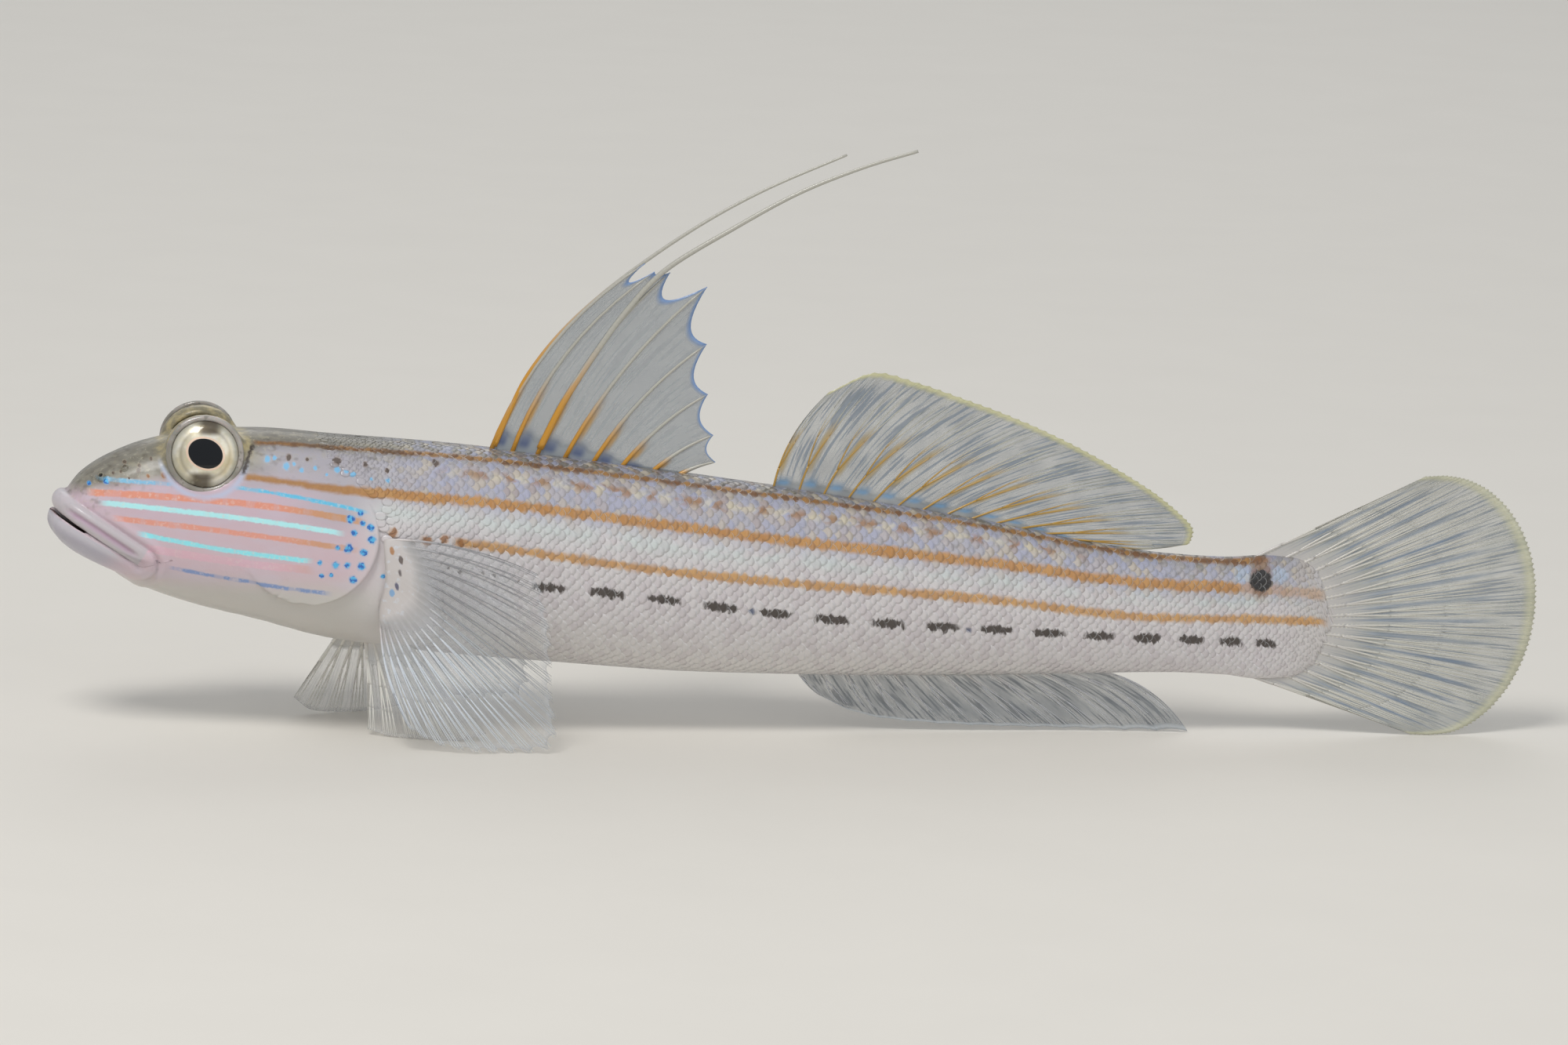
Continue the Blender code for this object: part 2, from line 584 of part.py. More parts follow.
FINISHES = {
    "head": ((0.62, 0.55, 0.56), 0.35),
    "lower_jaw": ((0.66, 0.63, 0.66), 0.35),
    "trunk": ((0.64, 0.60, 0.62), 0.38),
    "tail": ((0.66, 0.62, 0.63), 0.38),
    "eye": ((0.30, 0.27, 0.16), 0.08),
    "dorsal": ((0.62, 0.60, 0.50), 0.40),
    "second": ((0.60, 0.60, 0.52), 0.40),
    "anal": ((0.55, 0.58, 0.62), 0.40),
    "caudal": ((0.62, 0.64, 0.60), 0.40),
    "pectoral": ((0.74, 0.74, 0.72), 0.40),
    "pelvic": ((0.74, 0.73, 0.70), 0.40),
    "first": ((0.62, 0.60, 0.52), 0.40),
}


def give_material(thing):
    """Each piece has its own material, coloured by the first word of its name."""
    colour, roughness = FINISHES.get(thing.name) or FINISHES[thing.name.split("_")[0]]
    material = bpy.data.materials.new(thing.name)
    material.use_nodes = True
    shader = material.node_tree.nodes["Principled BSDF"]
    shader.inputs["Base Color"].default_value = (*colour, 1)
    shader.inputs["Roughness"].default_value = roughness
    shader.inputs["Metallic"].default_value = 0.0
    thing.data.materials.clear()
    thing.data.materials.append(material)


def main():
    for thing in list(bpy.data.objects):
        bpy.data.objects.remove(thing)
    parts = bpy.data.collections.new("longfin_sleeper_goby")
    cutters = bpy.data.collections.new("cutters")
    bpy.context.scene.collection.children.link(parts)
    bpy.context.scene.collection.children.link(cutters)
    build_head(parts, cutters)
    build_trunk(parts, cutters)
    build_tail(parts)
    build_eyes(parts)
    build_first_dorsal(parts)
    build_second_dorsal(parts)
    build_anal(parts)
    build_caudal(parts)
    build_pectorals(parts)
    build_pelvics(parts)
    for cutter in cutters.objects:
        cutter.hide_render = True
        cutter.display_type = "WIRE"
    for thing in parts.objects:
        give_material(thing)
        if "fin" not in thing.name:
            thing.data.shade_smooth()
            thing.data.set_sharp_from_angle(angle=0.6)


main()
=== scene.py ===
# Looks of the longfin sleeper goby: one painted skin, overlapping scales, wet eyes and clear rayed fins.
# Lengths in the dictionaries are millimetres in the frame's own axes: snout towards -X, left side towards -Y.
import math
import bpy
import numpy as np
from mathutils import Matrix


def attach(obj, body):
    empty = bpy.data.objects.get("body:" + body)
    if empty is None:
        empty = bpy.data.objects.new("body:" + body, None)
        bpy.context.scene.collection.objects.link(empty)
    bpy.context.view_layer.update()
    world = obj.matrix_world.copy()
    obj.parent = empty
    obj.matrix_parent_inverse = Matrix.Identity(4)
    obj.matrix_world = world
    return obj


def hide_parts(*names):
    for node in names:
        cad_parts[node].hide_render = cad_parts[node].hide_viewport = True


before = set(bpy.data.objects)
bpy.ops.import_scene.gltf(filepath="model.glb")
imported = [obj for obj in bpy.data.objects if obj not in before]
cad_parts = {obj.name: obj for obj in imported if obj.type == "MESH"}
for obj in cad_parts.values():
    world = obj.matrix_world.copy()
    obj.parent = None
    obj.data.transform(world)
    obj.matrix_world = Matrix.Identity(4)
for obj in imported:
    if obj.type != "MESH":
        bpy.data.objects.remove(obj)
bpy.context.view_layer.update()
mm = 0.001
print("frame loaded:", len(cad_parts), "solids")


def ease(value, low, high):
    # an S-shaped step from 0 at low to 1 at high
    share = np.clip((value - low) / (high - low), 0, 1)
    return share * share * (3 - 2 * share)


def hump(value, width):
    # a bell of height 1 around zero
    return np.exp(-(value / width) ** 2)


def unit(vectors):
    # each vector over its own length
    return vectors / np.maximum(np.linalg.norm(vectors, axis=-1, keepdims=True), 1e-12)


def ranging(pair, share):
    # a value between the two of a pair
    return pair[0] + (pair[1] - pair[0]) * share


def cubic(t, start, end, startSlope, endSlope):
    # Hermite cubic between two values with a slope at each
    return ((2 * t**3 - 3 * t**2 + 1) * start + (t**3 - 2 * t**2 + t) * startSlope
            + (3 * t**2 - 2 * t**3) * end + (t**3 - t**2) * endSlope)


def smoothThrough(xs, ys, at):
    # cubic pieces through (xs, ys) whose slopes are harmonic means, so the curve never overshoots
    xs, ys, at = (np.asarray(values, float) for values in (xs, ys, at))
    step = np.diff(xs)
    rise = np.diff(ys) / step
    before, after = rise[:-1], rise[1:]
    agree = before * after > 0
    inner = np.where(agree, 2 * before * after / np.where(agree, before + after, 1), 0)
    slope = np.concatenate([rise[:1], inner, rise[-1:]])
    cell = np.clip(np.searchsorted(xs, at) - 1, 0, len(xs) - 2)
    t = np.clip((at - xs[cell]) / step[cell], 0, 1)
    return cubic(t, ys[cell], ys[cell + 1], step[cell] * slope[cell], step[cell] * slope[cell + 1])


def through(points, at):
    # Catmull-Rom curve through evenly counted points, read at fractional counts
    points, at = np.asarray(points, float), np.asarray(at, float)
    slopes = np.gradient(points, axis=0)
    cell = np.clip(at.astype(int), 0, len(points) - 2)
    t = (at - cell)[..., None]
    return cubic(t, points[cell], points[cell + 1], slopes[cell], slopes[cell + 1])


def pathAt(points, share):
    # places at these shares of the length of the smooth curve through the points
    fine = through(points, np.linspace(0, len(points) - 1, 400))
    length = np.concatenate([[0], np.cumsum(np.linalg.norm(np.diff(fine, axis=0), axis=1))])
    return np.stack([np.interp(np.asarray(share) * length[-1], length, axis) for axis in fine.T], axis=-1)


def gridFaces(rows, columns, wrap=False):
    # quads between neighbouring rows and columns of a grid, closed round when it wraps
    index = np.arange(rows * columns).reshape(rows, columns)
    there = np.roll(index, -1, axis=1) if wrap else index[:, 1:]
    here = index if wrap else index[:, :-1]
    return np.stack([here[:-1], there[:-1], there[1:], here[1:]], axis=-1).reshape(-1, 4)


def sheetFaces(rows, columns):
    # both faces of a thin sheet and the rim that joins them
    index = np.arange(rows * columns).reshape(rows, columns)
    top = gridFaces(rows, columns)
    rim = np.concatenate([index[0, :-1], index[:-1, -1], index[-1, :0:-1], index[:0:-1, 0]])
    count = rows * columns
    side = np.stack([np.roll(rim, -1), rim, rim + count, np.roll(rim, -1) + count], axis=-1)
    return np.concatenate([top, top[:, ::-1] + count, side])


def putMesh(name, points, faceSets, finish, fields=None, bakePlaces=None, replaced=()):
    # one closed mesh from arrays of any shape, turned outward if its volume comes out negative
    points = points.reshape(-1, 3)
    fans = np.concatenate([faces[:, [0, k, k + 1]] for faces in faceSets for k in range(1, faces.shape[1] - 1)])
    if np.linalg.det(points[fans]).sum() < 0:
        faceSets = [faces[:, ::-1] for faces in faceSets]
    sizes = np.concatenate([np.full(len(faces), faces.shape[1]) for faces in faceSets])
    corners = np.concatenate([faces.ravel() for faces in faceSets]).astype(np.int32)
    mesh = bpy.data.meshes.new(name)
    mesh.vertices.add(len(points))
    mesh.vertices.foreach_set("co", (points * mm).astype(np.float32).ravel())
    mesh.loops.add(len(corners))
    mesh.loops.foreach_set("vertex_index", corners)
    mesh.polygons.add(len(sizes))
    mesh.polygons.foreach_set("loop_start", (np.cumsum(sizes) - sizes).astype(np.int32))
    mesh.update(calc_edges=True)
    mesh.shade_smooth()
    for key, values in (fields or {}).items():
        kind, entry = ("FLOAT_VECTOR", "vector") if values.ndim > 1 else ("FLOAT", "value")
        mesh.attributes.new(key, kind, "POINT").data.foreach_set(entry, values.astype(np.float32).ravel())
    if bakePlaces is not None:
        atCorners = bakePlaces.reshape(-1, 2)[corners]
        mesh.uv_layers.new(name="OFBake").data.foreach_set("uv", atCorners.astype(np.float32).ravel())
    mesh.materials.append(finish.material)
    piece = bpy.data.objects.new(name, mesh)
    bpy.context.scene.collection.objects.link(piece)
    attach(piece, "root")
    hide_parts(*replaced)
    print("made", name, len(points), "points", len(fans), "triangles")
    return piece


class Value:
    # one output socket; an expression on it adds Math nodes
    def __init__(self, finish, socket):
        self.finish, self.socket = finish, socket

    def math(self, operation, *others):
        return self.finish.node("Math", {"operation": operation}, dict(enumerate((self, *others))))

    def __add__(self, other):
        return self.math("ADD", other)

    def __sub__(self, other):
        return self.math("SUBTRACT", other)

    def __rsub__(self, other):
        return (self * -1).math("ADD", other)

    def __mul__(self, other):
        return self.math("MULTIPLY", other)

    def __truediv__(self, other):
        return self.math("DIVIDE", other)

    def __pow__(self, other):
        return self.math("POWER", other)

    def __abs__(self):
        return self.math("ABSOLUTE")

    __radd__, __rmul__ = __add__, __mul__

    def over(self, low, high):
        # 0 at low rising to 1 at high, eased
        return self.finish.node("MapRange", {"interpolation_type": "SMOOTHSTEP"},
                                {"Value": self, "From Min": low, "From Max": high})

    def line(self, half, soft):
        # 1 within half of zero, fading over soft
        return 1 - abs(self).over(half - soft, half + soft)

    def curve(self, places, degree):
        # the polynomial that best passes through these (input, output) places
        xs, ys = zip(*places)
        terms = [float(term) for term in np.polyfit(xs, ys, degree)]
        total = self * terms[0] + terms[1]
        for term in terms[2:]:
            total = total * self + term
        return total

    def clip(self, low=0.0, high=1.0):
        return self.math("MAXIMUM", low).math("MINIMUM", high)


def tone(red, green, blue):
    # a colour as seen on a screen, turned into linear light
    shares = (red / 255, green / 255, blue / 255)
    return tuple(c / 12.92 if c <= 0.04045 else ((c + 0.055) / 1.055) ** 2.4 for c in shares) + (1.0,)


def between(under, over, share):
    # a colour between two
    return tuple(a + (b - a) * share for a, b in zip(under, over))


class Finish:
    # a Principled material; constants go straight onto its sockets
    def __init__(self, name, constants):
        self.material = bpy.data.materials.new(name)
        self.material.use_nodes = True
        self.tree = self.material.node_tree
        self.surface = self.tree.nodes["Principled BSDF"]
        for key, value in constants.items():
            self.surface.inputs[key].default_value = value

    def node(self, kind, settings, inputs, output=0):
        made = self.tree.nodes.new("ShaderNode" + kind)
        for key, value in settings.items():
            setattr(made, key, value)
        for key, value in inputs.items():
            if isinstance(value, Value):
                self.tree.links.new(value.socket, made.inputs[key])
            else:
                made.inputs[key].default_value = value
        return Value(self, made.outputs[output])

    def field(self, name, output="Fac"):
        return self.node("Attribute", {"attribute_name": name}, {}, output)

    def threeFields(self, name):
        vector = self.field(name, "Vector")
        parts = self.node("SeparateXYZ", {}, {0: vector}).socket.node
        return [Value(self, socket) for socket in parts.outputs]

    def clouds(self, vector, detail):
        return self.node("TexNoise", {}, {"Vector": vector, "Scale": 1.0, "Detail": detail, "Roughness": 0.55}, "Fac")

    def noise(self, detail, along, across=None):
        # noise on object coordinates, with this many cells a metre along the fish and across it
        across = across or along
        where = self.node("TexCoord", {}, {}, "Object")
        return self.clouds(self.node("Mapping", {}, {"Vector": where, "Scale": (along, across, across)}), detail)

    def layers(self, colour, *overs):
        # lays colours over one another, each given as its share and then a colour or its red, green and blue
        for share, *over in overs:
            over = tone(*over) if len(over) == 3 else over[0]
            colour = self.node("Mix", {"data_type": "RGBA"}, {0: share, 6: colour, 7: over}, 2)
        return colour

    def bump(self, height, distance, strength=1.0):
        return self.node("Bump", {}, {"Height": height, "Distance": distance * mm, "Strength": strength})

    def feed(self, links):
        for key, value in links.items():
            self.tree.links.new(value.socket, self.surface.inputs[key])


# Body shape. Stations from snout to tail: place, back, belly, half width.
body = {
    "stations": [
        (-78.5, 22.97, 22.77, 0.12), (-78.25, 23.90, 21.80, 1.35), (-77.6, 25.05, 20.60, 2.55),
        (-76.2, 26.80, 19.00, 3.90), (-73.5, 28.60, 16.90, 4.95), (-69.5, 30.20, 14.80, 5.90),
        (-64.0, 31.25, 13.00, 6.70), (-58.0, 31.60, 11.60, 7.35), (-50.0, 31.05, 9.60, 7.90),
        (-40.0, 30.40, 8.30, 7.80), (-26.0, 29.05, 7.20, 7.15), (-10.0, 27.10, 6.25, 6.30),
        (5.0, 25.10, 6.05, 5.35), (20.0, 22.75, 6.20, 4.20), (32.0, 20.45, 6.45, 3.15),
        (40.0, 19.45, 6.60, 2.45), (46.0, 19.20, 6.40, 1.75), (50.0, 19.45, 5.95, 1.20),
        (53.0, 19.30, 6.05, 0.78), (56.0, 17.90, 7.40, 0.40), (58.2, 14.00, 11.20, 0.10),
    ],
    "power": 2.3,                  # superellipse power of the cross section
    "widest": (0.42, 0.50),        # height of the greatest width on the head and on the trunk
    "coat": 0.10,                  # the skin lies this deep under the scales' tops
}
mouth = {
    "corner": (-70.5, 17.95), "front": -78.5, "open": 0.11,
    "upperWidth": 1.95, "upperRise": (0.55, 0.95),      # at the corner and in front
    "lowerWidth": (1.9, 3.2), "lowerRise": (0.45, 1.62),
    "groove": 0.26, "crease": 0.1, "cheek": 0.22,       # in the upper lip, past both lips, and the fold past them
    "inside": [(0.05, 0.05), (0.12, 0.3), (0.35, 0.55), (0.6, 0.3)],      # how far in each ring lies, and its opening
}
gill = {
    "centre": (-53.0, 21.5), "reach": (7.2, 7.0), "top": (-48.0, 36.0), "bottom": (-54.6, 4.0),
    "lift": 0.42, "liftFade": 2.2, "dip": 0.14, "dipFade": 0.9,
}
eye = {
    "rim": (-63.85, 5.05, 29.72), "tilt": 12.0, "turn": 2.0,     # middle of the eye's rim and the way it faces
    "radius": 3.52, "bulge": 1.35, "depth": 3.3,      # the eyeball: its visible radius, how far it bulges and sinks
    "ring": (3.74, 0.3),                               # the fleshy rim: radius of its middle and its half width
    "dome": (4.2, 2.35), "domeDepth": 1.65,            # the swelling round it
    "well": 1.6, "wellReach": -3.5,                    # how deep the skin sinks behind the eyeball, and from where
}
stations = np.array(body["stations"])
power = body["power"]
bothSides = (("left", -1), ("right", 1))


def bodySize(x):
    # back height, belly height, half width and height of the greatest width
    back, belly, half = (smoothThrough(stations[:, 0], stations[:, k], x) for k in (1, 2, 3))
    onHead, onTrunk = body["widest"]
    share = smoothThrough((-80, -60, -30), (onHead, onHead, onTrunk), x)
    return back, belly, half, belly + share * (back - belly)


def section(x, z):
    # half width, the height where it is reached, and the distance from there to the back or the belly
    back, belly, half, middle = bodySize(x)
    return half, middle, np.where(z > middle, back - middle, middle - belly)


def onSkin(points):
    # carries inner points straight out from the middle of their section onto its superellipse
    x, y, z = np.moveaxis(points, -1, 0)
    half, middle, reach = section(x, z)
    grow = (np.abs(y / half) ** power + np.abs((z - middle) / reach) ** power + 1e-9) ** (-1 / power)
    return np.stack([x, y * grow, middle + (z - middle) * grow], axis=-1)


def sectionPoint(x, angle):
    # a place on the skin: powers of the cosine and sine of its angle, times the section's half width and reach
    up = np.sign(np.sin(angle)) * np.abs(np.sin(angle)) ** (2 / power)
    across = np.abs(np.cos(angle)) ** (2 / power)
    back, belly, half, middle = bodySize(x)
    height = middle + np.where(up > 0, back - middle, middle - belly) * up
    return np.stack([x + 0 * angle, half * across, height], axis=-1)


def sideWidth(x, z):
    # how far the skin lies from the middle plane at this height
    half, middle, reach = section(x, z)
    return half * np.clip(1 - np.abs((z - middle) / reach) ** power, 0, 1) ** (1 / power)


def skinNormal(points):
    # the outward slope of the superellipse sections, by small steps each way
    def level(shift):
        x, y, z = np.moveaxis(points + shift, -1, 0)
        half, middle, reach = section(np.clip(x, stations[0, 0], stations[-1, 0]), z)
        return np.abs(y / half) ** power + np.abs((z - middle) / reach) ** power
    steps = np.eye(3) * 0.04
    return unit(np.stack([level(step) - level(-step) for step in steps], axis=-1))


# Distances round the skin from the middle of the back, for a grid of sections and angles, and the same turned over.
arcRows, arcColumns, arcTurns = 270, 91, 201
arcXs = np.linspace(stations[0, 0], stations[-1, 0], arcRows)
arcAngles = np.radians(np.linspace(90, -90, arcColumns))
arcSteps = np.linalg.norm(np.diff(sectionPoint(arcXs[:, None], arcAngles[None, :]), axis=1), axis=-1)
arcTable = np.concatenate([np.zeros((arcRows, 1)), np.cumsum(arcSteps, axis=1)], axis=1)
arcTurned = np.array([np.interp(np.linspace(0, 1, arcTurns) * row[-1], row, arcAngles) for row in arcTable])


def tableAt(table, x, share):
    # a value between the four nearest cells of a table, by place along the fish and share of its columns
    row = np.clip((x - arcXs[0]) / (arcXs[1] - arcXs[0]), 0, len(table) - 1.001)
    column = np.clip(share * (table.shape[1] - 1), 0, table.shape[1] - 1.001)
    i, j = row.astype(int), column.astype(int)
    a, b = row - i, column - j
    return ((1 - a) * (1 - b) * table[i, j] + a * (1 - b) * table[i + 1, j]
            + (1 - a) * b * table[i, j + 1] + a * b * table[i + 1, j + 1])


def bodyPlace(points):
    # place along the fish, height, and distance round the skin from the middle of the back
    x, y, z = np.moveaxis(points, -1, 0)
    half, middle, reach = section(x, z)
    up = np.clip((z - middle) / reach, -1, 1)
    angle = np.arcsin(np.sign(up) * np.abs(up) ** (power / 2))
    return np.stack([x, z, tableAt(arcTable, x, (math.pi / 2 - angle) / math.pi)], axis=-1)


def arcPlace(x, girth):
    # the skin's place from the distance along the fish and round it, by the table turned over
    total = np.interp(x, arcXs, arcTable[:, -1])
    return sectionPoint(x, tableAt(arcTurned, x, np.clip(girth / total, 0, 1)))


def mouthHeight(x):
    # the mouth line: straight from its corner to the middle of the snout's tip
    (cornerX, cornerZ), frontX = mouth["corner"], mouth["front"]
    return cornerZ + (stations[0, 1] + stations[0, 2] - 2 * cornerZ) / 2 * (cornerX - x) / (cornerX - frontX)


def gillEdge(angle):
    # the gill cover's rear edge for each angle round the section, found by a few repeats
    (centreX, centreZ), (reachX, reachZ) = gill["centre"], gill["reach"]
    x = np.full(angle.shape, centreX + reachX)
    turn = np.linspace(math.pi / 4, -math.pi / 2, 60)
    edgeX = np.concatenate([[gill["top"][0]], centreX + reachX * np.cos(turn), [gill["bottom"][0]]])
    edgeZ = np.concatenate([[gill["top"][1]], centreZ + reachZ * np.sin(turn), [gill["bottom"][1]]])
    for _ in range(12):
        x = 0.5 * x + 0.5 * np.interp(-sectionPoint(x, angle)[..., 2], -edgeZ, edgeX)
    return sectionPoint(x, angle)


def eyeFrame(side):
    # middle of the rim, the way the eye faces, and two directions across it
    tilt, turn = math.radians(eye["tilt"]), math.radians(eye["turn"])
    facing = unit(np.array([-math.sin(turn), side * math.cos(turn) * math.cos(tilt), math.sin(tilt)]))
    upward = unit(np.array([0, 0, 1.0]) - facing * facing[2])
    rearward = np.array([1.0, 0, 0]) - facing * facing[0]
    rearward = unit(rearward - upward * (rearward @ upward))
    x, y, z = eye["rim"]
    return np.array([x, side * y, z]), facing, rearward, upward


def mouthSplit(x, z):
    # signed distance above the mouth line in side view, and how far forward along it, within its ends and past them
    (cornerX, cornerZ), frontX = mouth["corner"], mouth["front"]
    offX, offZ = x - cornerX, z - cornerZ
    run = np.array([frontX - cornerX, mouthHeight(frontX) - cornerZ])
    ahead = (offX * run[0] + offZ * run[1]) / (run @ run)
    forward = np.clip(ahead, 0, 1)
    away = np.hypot(offX - forward * run[0], offZ - forward * run[1])
    return away * np.sign(offZ * -run[0] + offX * run[1]), forward, ahead


def headRelief(x, z):
    # how far the skin stands out: lips with their groove and folds, and the gill cover's free edge
    signed, forward, ahead = mouthSplit(x, z)
    away = np.abs(signed)
    width = mouth["upperWidth"]
    upper = ranging(mouth["upperRise"], forward**2) * np.sqrt(np.clip(1 - ((away - width / 2) / (width / 2)) ** 2, 0, 1))
    groove = hump(away - 0.52 * width, 0.26) * ease(forward, 0.02, 0.15) * (1 - ease(forward, 0.86, 0.98))
    crease = hump(away - width - 0.12, 0.2) * (1 - ease(forward, 0.75, 0.95))
    fold = hump(away - width - 0.75, 0.42) * (1 - ease(forward, 0.35, 0.75))
    upper += mouth["cheek"] * fold - mouth["groove"] * groove - mouth["crease"] * crease
    width = ranging(mouth["lowerWidth"], forward)
    lower = np.clip(1 - np.abs((away - 0.46 * width) / (0.54 * width)) ** 2.6, 0, 1) ** 0.6
    lower *= ranging(mouth["lowerRise"], forward**1.5)
    lower -= 0.8 * mouth["crease"] * hump(away - width - 0.12, 0.22)
    lips = upper + (lower - upper) * np.where(signed > 0, 0, ease(ahead, -0.03, 0.14))
    dx, dz = (x - gill["centre"][0]) / gill["reach"][0], (z - gill["centre"][1]) / gill["reach"][1]
    past = (np.hypot(dx, dz) - 1) * gill["reach"][0]
    around = np.degrees(np.arctan2(dz, dx))
    edge = (1 - ease(around, -2, 40)) * ease(around, -160, -100)
    lift = gill["lift"] * np.exp(np.minimum(past, 0) / gill["liftFade"])
    dip = -gill["dip"] * np.exp(-np.maximum(past, 0) / gill["dipFade"])
    cover = edge * (lift + (dip - lift) * ease(past, 0.01, 0.1))
    # a faint curved fold on the cheek, and fine folds across the throat
    curved = hump(np.hypot(x + 60.5, (z - 21.0) * 0.8) - 6.4, 0.22)
    curved *= ease(x, -58, -56) * (1 - ease(z, 20, 22.5)) * ease(z, 13, 15)
    throat = np.sin((z - 0.32 * x) * 4.2) * ease(x, -66, -61) * (1 - ease(x, -52, -49)) * (1 - ease(z, 13, 14.6))
    return lips + cover - 0.05 * curved + 0.014 * throat


def pushEyes(points):
    # swells the skin over each eye's dome, then sinks a well behind the eyeball
    wide, deep = eye["dome"]
    for side in (-1, 1):
        rim, facing = eyeFrame(side)[:2]
        centre = rim - facing * eye["domeDepth"]
        offset = points - centre
        along = offset @ facing
        across = np.linalg.norm(offset - along[..., None] * facing, axis=-1)
        share = np.sqrt((across / wide) ** 2 + (along / deep) ** 2)
        grow = (1 + np.maximum(share, 0.05) ** -7.0) ** (1 / 7.0)
        near = (points[..., 1] * side > -0.2) & (share < 3)
        points = np.where(near[..., None], centre + offset * grow[..., None], points)
        offset = points - rim
        along = offset @ facing
        across = np.linalg.norm(offset - along[..., None] * facing, axis=-1)
        sunk = (1 - ease(across, eye["radius"] - 0.45, eye["radius"] + 0.25)) * (along > eye["wellReach"])
        points = points - facing * ((along + eye["well"]) * sunk * near)[..., None]
    return points


def skinRings(angle, slit):
    # rows between key outlines, crowding towards the mouth: the tail's end, shoulder, gill cover's edge, nape, mouth slit
    shoulder, nape, tailEnd = (sectionPoint(np.full(len(angle), float(x)), angle) for x in (-37, -60, stations[-1, 0]))
    edge = gillEdge(angle)
    keys = [(tailEnd, shoulder, 126, 1.0, False), (shoulder, edge + [0.1, 0, 0], 22, 1.0, True),
            (edge, nape, 40, 1.0, False), (nape, slit, 104, 1.6, True)]
    rings = []
    for start, end, rows, crowd, shared in keys:     # a shared first row is in the set before
        share = 1 - (1 - np.linspace(0, 1, rows)[:, None, None]) ** crowd
        rings.append(start + (end - start) * (share[1:] if shared else share))
    return onSkin(np.concatenate(rings))


def makeSkin(finish, columns=121):
    # rings of one side, mirrored to the other; the mouth's inside runs back from its slit and closes
    angle = np.radians(np.linspace(90, -90, columns))
    t = np.abs(angle) / (math.pi / 2)
    slitX = mouth["corner"][0] + (mouth["front"] - mouth["corner"][0]) * np.sin(t * math.pi / 2)
    slitZ = mouthHeight(slitX) + np.sign(angle) * mouth["open"] / 2 * t**0.7
    slit = np.stack([slitX, sideWidth(slitX, slitZ) * (t < 0.999), slitZ], axis=-1)
    base = skinRings(angle, slit)
    base[:, [0, -1], 1] = 0
    base[-1] = slit
    whole = np.concatenate([base * [1, -1, 1], base[:, -2:0:-1]], axis=1)
    x, _, z = np.moveaxis(whole, -1, 0)
    points = whole + skinNormal(whole) * (headRelief(x, z) - body["coat"] * ease(x, -53, -38))[..., None]
    points = pushEyes(points)
    throatAt = np.array([mouth["corner"][0], 0.0, mouth["corner"][1]])
    halves = np.concatenate([angle, angle[-2:0:-1]]), np.concatenate([t, t[-2:0:-1]])
    inner = []
    for share, swell in mouth["inside"]:
        ring = points[-1] + (throatAt - points[-1]) * share
        ring[:, 2] += swell * np.sign(halves[0]) * halves[1]
        inner.append(ring)
    inside = np.concatenate([np.zeros(whole.shape[:2]), np.ones((len(inner), whole.shape[1]))])
    inside[-len(inner) - 1] = 0.5
    points = np.concatenate([points, np.array(inner)])
    whole = np.concatenate([whole, np.repeat(whole[-1:], len(inner), axis=0)])
    away, forward, _ = mouthSplit(whole[..., 0], whole[..., 2])
    fields = {"bodyPlace": bodyPlace(whole), "mouthPlace": np.stack([away, forward, inside], axis=-1)}
    rows, around = points.shape[:2]
    faces = gridFaces(rows, around, wrap=True)
    # flat caps: quads from side to side, with a triangle at each end
    left, right = np.arange(columns - 1), (-np.arange(columns)) % around
    tailCap = np.stack([left, left + 1, right[left + 1], right[left]], axis=-1)[1:-1]
    tips = np.array([[0, 1, right[1]], [columns - 2, columns - 1, right[columns - 2]]])
    half = (columns - 1) // 2
    first = (rows - 1) * around
    upper = first + np.concatenate([np.arange(half + 1)[::-1], around - np.arange(1, half + 1)])     # left to right corner
    lower = first + np.concatenate([np.arange(half, columns), np.arange(columns, around - half + 1)])
    mouthCap = np.stack([upper[:-1], lower[:-1], lower[1:], upper[1:]], axis=-1)[1:-1]
    corners = np.array([[upper[0], lower[1], upper[1]], [upper[-1], upper[-2], lower[-2]]])
    putMesh("goby_skin", points, [faces[:, ::-1], tailCap, tips, mouthCap, corners], finish, fields,
            replaced=("head", "lower_jaw", "trunk", "tail"))


# Markings, on places along the fish (x) against height (z) on the head and distance from the back (girth) behind it.
stripes = {
    "upper": {
        "places": [(-58.2, 3.8), (-52.4, 3.1), (-44.2, 3.5), (-36.0, 3.4), (-27.7, 3.3), (-14.0, 2.9), (-2.5, 2.3),
                   (5.9, 2.3), (14.4, 2.0), (23.0, 1.6), (31.6, 1.1), (42.0, 0.9)],
        "degree": 4, "half": 0.4, "tint": tone(116, 76, 36), "span": (-59.4, 51.0), "strength": 0.95,
    },
    "middle": {
        "places": [(-59.7, 7.6), (-54.2, 8.2), (-47.7, 8.4), (-41.1, 8.75), (-32.9, 8.75), (-27.9, 8.6), (-16.0, 7.9),
                   (-4.5, 7.45), (5.0, 7.2), (14.2, 6.6), (22.8, 5.75), (29.7, 4.8), (34.9, 4.1), (40.1, 3.65),
                   (45.3, 3.6), (49.5, 4.2), (54.0, 4.4), (58.5, 4.0)],
        "degree": 6, "half": 0.54, "tint": tone(188, 128, 40), "span": (-60.5, 57.4), "faint": 46.6, "strength": 0.88,
        "onTail": (15.95, -0.09),
    },
    "lower": {
        "places": [(-45.2, 12.75), (-38.5, 13.1), (-31.2, 13.35), (-22.9, 13.1), (-12.0, 12.5), (-2.7, 11.9), (5.8, 11.65),
                   (17.7, 10.2), (22.9, 9.6), (29.8, 8.4), (35.0, 7.65), (40.2, 7.1), (49.0, 7.3), (55.0, 6.9), (58.5, 5.6)],
        "degree": 5, "half": 0.46, "tint": tone(196, 138, 52), "span": (-38.5, 57.6), "strength": 0.84,
        "onTail": (12.66, -0.045),
    },
}
